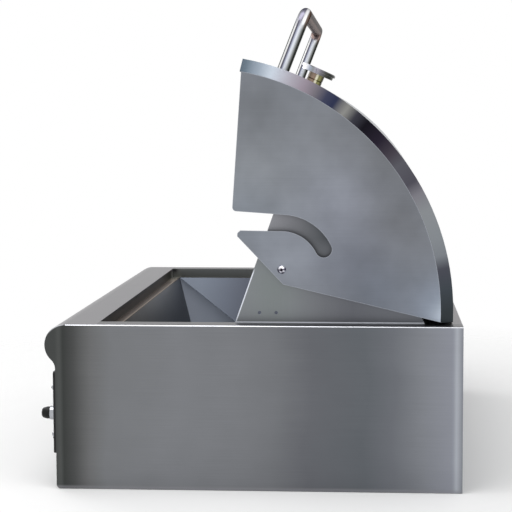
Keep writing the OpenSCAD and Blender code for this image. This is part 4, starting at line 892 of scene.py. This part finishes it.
def addCrosses():
    length, half = 2 * crossLook["arm"], crossLook["width"] / 2
    heads = {}
    for v in nodes["panel_screws"].data.vertices:
        key = (round(v.co.x / crossLook["step"]), round(v.co.z / crossLook["step"]))
        heads.setdefault(key, []).append(v.co)
    arms = []
    for head in heads.values():
        xs, ys, zs = ([c[k] for c in head] for k in range(3))
        centre = Vector(((min(xs) + max(xs)) / 2, min(ys), (min(zs) + max(zs)) / 2))
        for turn in (0, math.pi / 2):
            arm = solidMesh("arm", *bar(length, -half, half, *crossLook["depth"]))
            arm.transform(axes(centre, Vector((0, 0, 1)), Vector((0, -1, 0))) @ Matrix.Rotation(turn, 4, "Z"))
            arms.append(arm)
    mesh = joinedMesh("screwCrosses", arms, Matrix.Identity(4), finishes["dialInk"])
    settle(addPiece("screwCrosses", mesh), "cabinet")


addCrosses()
print("screw crosses made")

studio = {
    "floorRadius": 1.5, "floorSides": 96, "floorDrop": 0.0005, "floorFade": (1.3, 0.55),
    "floorColour": "f4f4f4",
    "background": 1.0, "fill": 0.62,
    "lamps": [("topLamp", (0.6, -0.5, 2.2), (0, 0, 0.2), 1.6, 26),  # place, aim, width, watts
              ("backLamp", (1.6, 1.9, 1.3), (0, 0.1, 0.3), 1.8, 9),
              ("frontLamp", (-1.4, -1.8, 1.4), (0, 0, 0.3), 1.4, 12)],
}


def addFloor():
    mesh = bpy.data.meshes.new("floor")
    bm = bmesh.new()
    bmesh.ops.create_circle(bm, cap_ends=True, segments=studio["floorSides"], radius=studio["floorRadius"])
    bmesh.ops.translate(bm, verts=bm.verts, vec=(0, 0, -studio["floorDrop"]))
    bm.to_mesh(mesh)
    bm.free()
    floor = addPiece("floor", mesh)
    mat = finish("floorPaper", studio["floorColour"], metallic=0.0, squeeze=evenGrain, lines=0.01,
                 patches=0.01, rough=0.9, bump=0.02)
    tree = mat.node_tree
    place = addNode(tree, "ShaderNodeTexCoord").outputs["Object"]
    fade = spread(tree, vectorCalc(tree, "LENGTH", place, (0, 0, 0), 1), *studio["floorFade"])
    feed(tree, tree.nodes["Principled BSDF"].inputs["Alpha"], fade)
    mesh.materials.append(mat)


def addLamp(name, place, aim, width, watts):
    data = bpy.data.lights.new(name, "AREA")
    data.shape, data.size, data.energy = "SQUARE", width, watts
    lamp = bpy.data.objects.new(name, data)
    lamp.location = place
    lamp.rotation_euler = (Vector(aim) - Vector(place)).to_track_quat("-Z", "Y").to_euler()
    bpy.context.scene.collection.objects.link(lamp)


def addWorld():
    world = bpy.data.worlds.new("studioWorld")
    bpy.context.scene.world = world
    world.use_nodes = True
    tree = world.node_tree
    sky = tree.nodes["Background"]
    path = addNode(tree, "ShaderNodeLightPath").outputs
    mirrored = calc(tree, "MAXIMUM", path["Is Glossy Ray"], path["Is Transmission Ray"])
    seen = calc(tree, "MAXIMUM", path["Is Camera Ray"], mirrored)
    level = calc(tree, "ADD", times(tree, seen, studio["background"] - studio["fill"]), studio["fill"])
    feed(tree, sky.inputs["Strength"], level)
    sky.inputs["Color"].default_value = (1, 1, 1, 1)


addFloor()
for lamp in studio["lamps"]:
    addLamp(*lamp)
addWorld()
bpy.context.scene.view_settings.view_transform = "Standard"
print("studio lit")
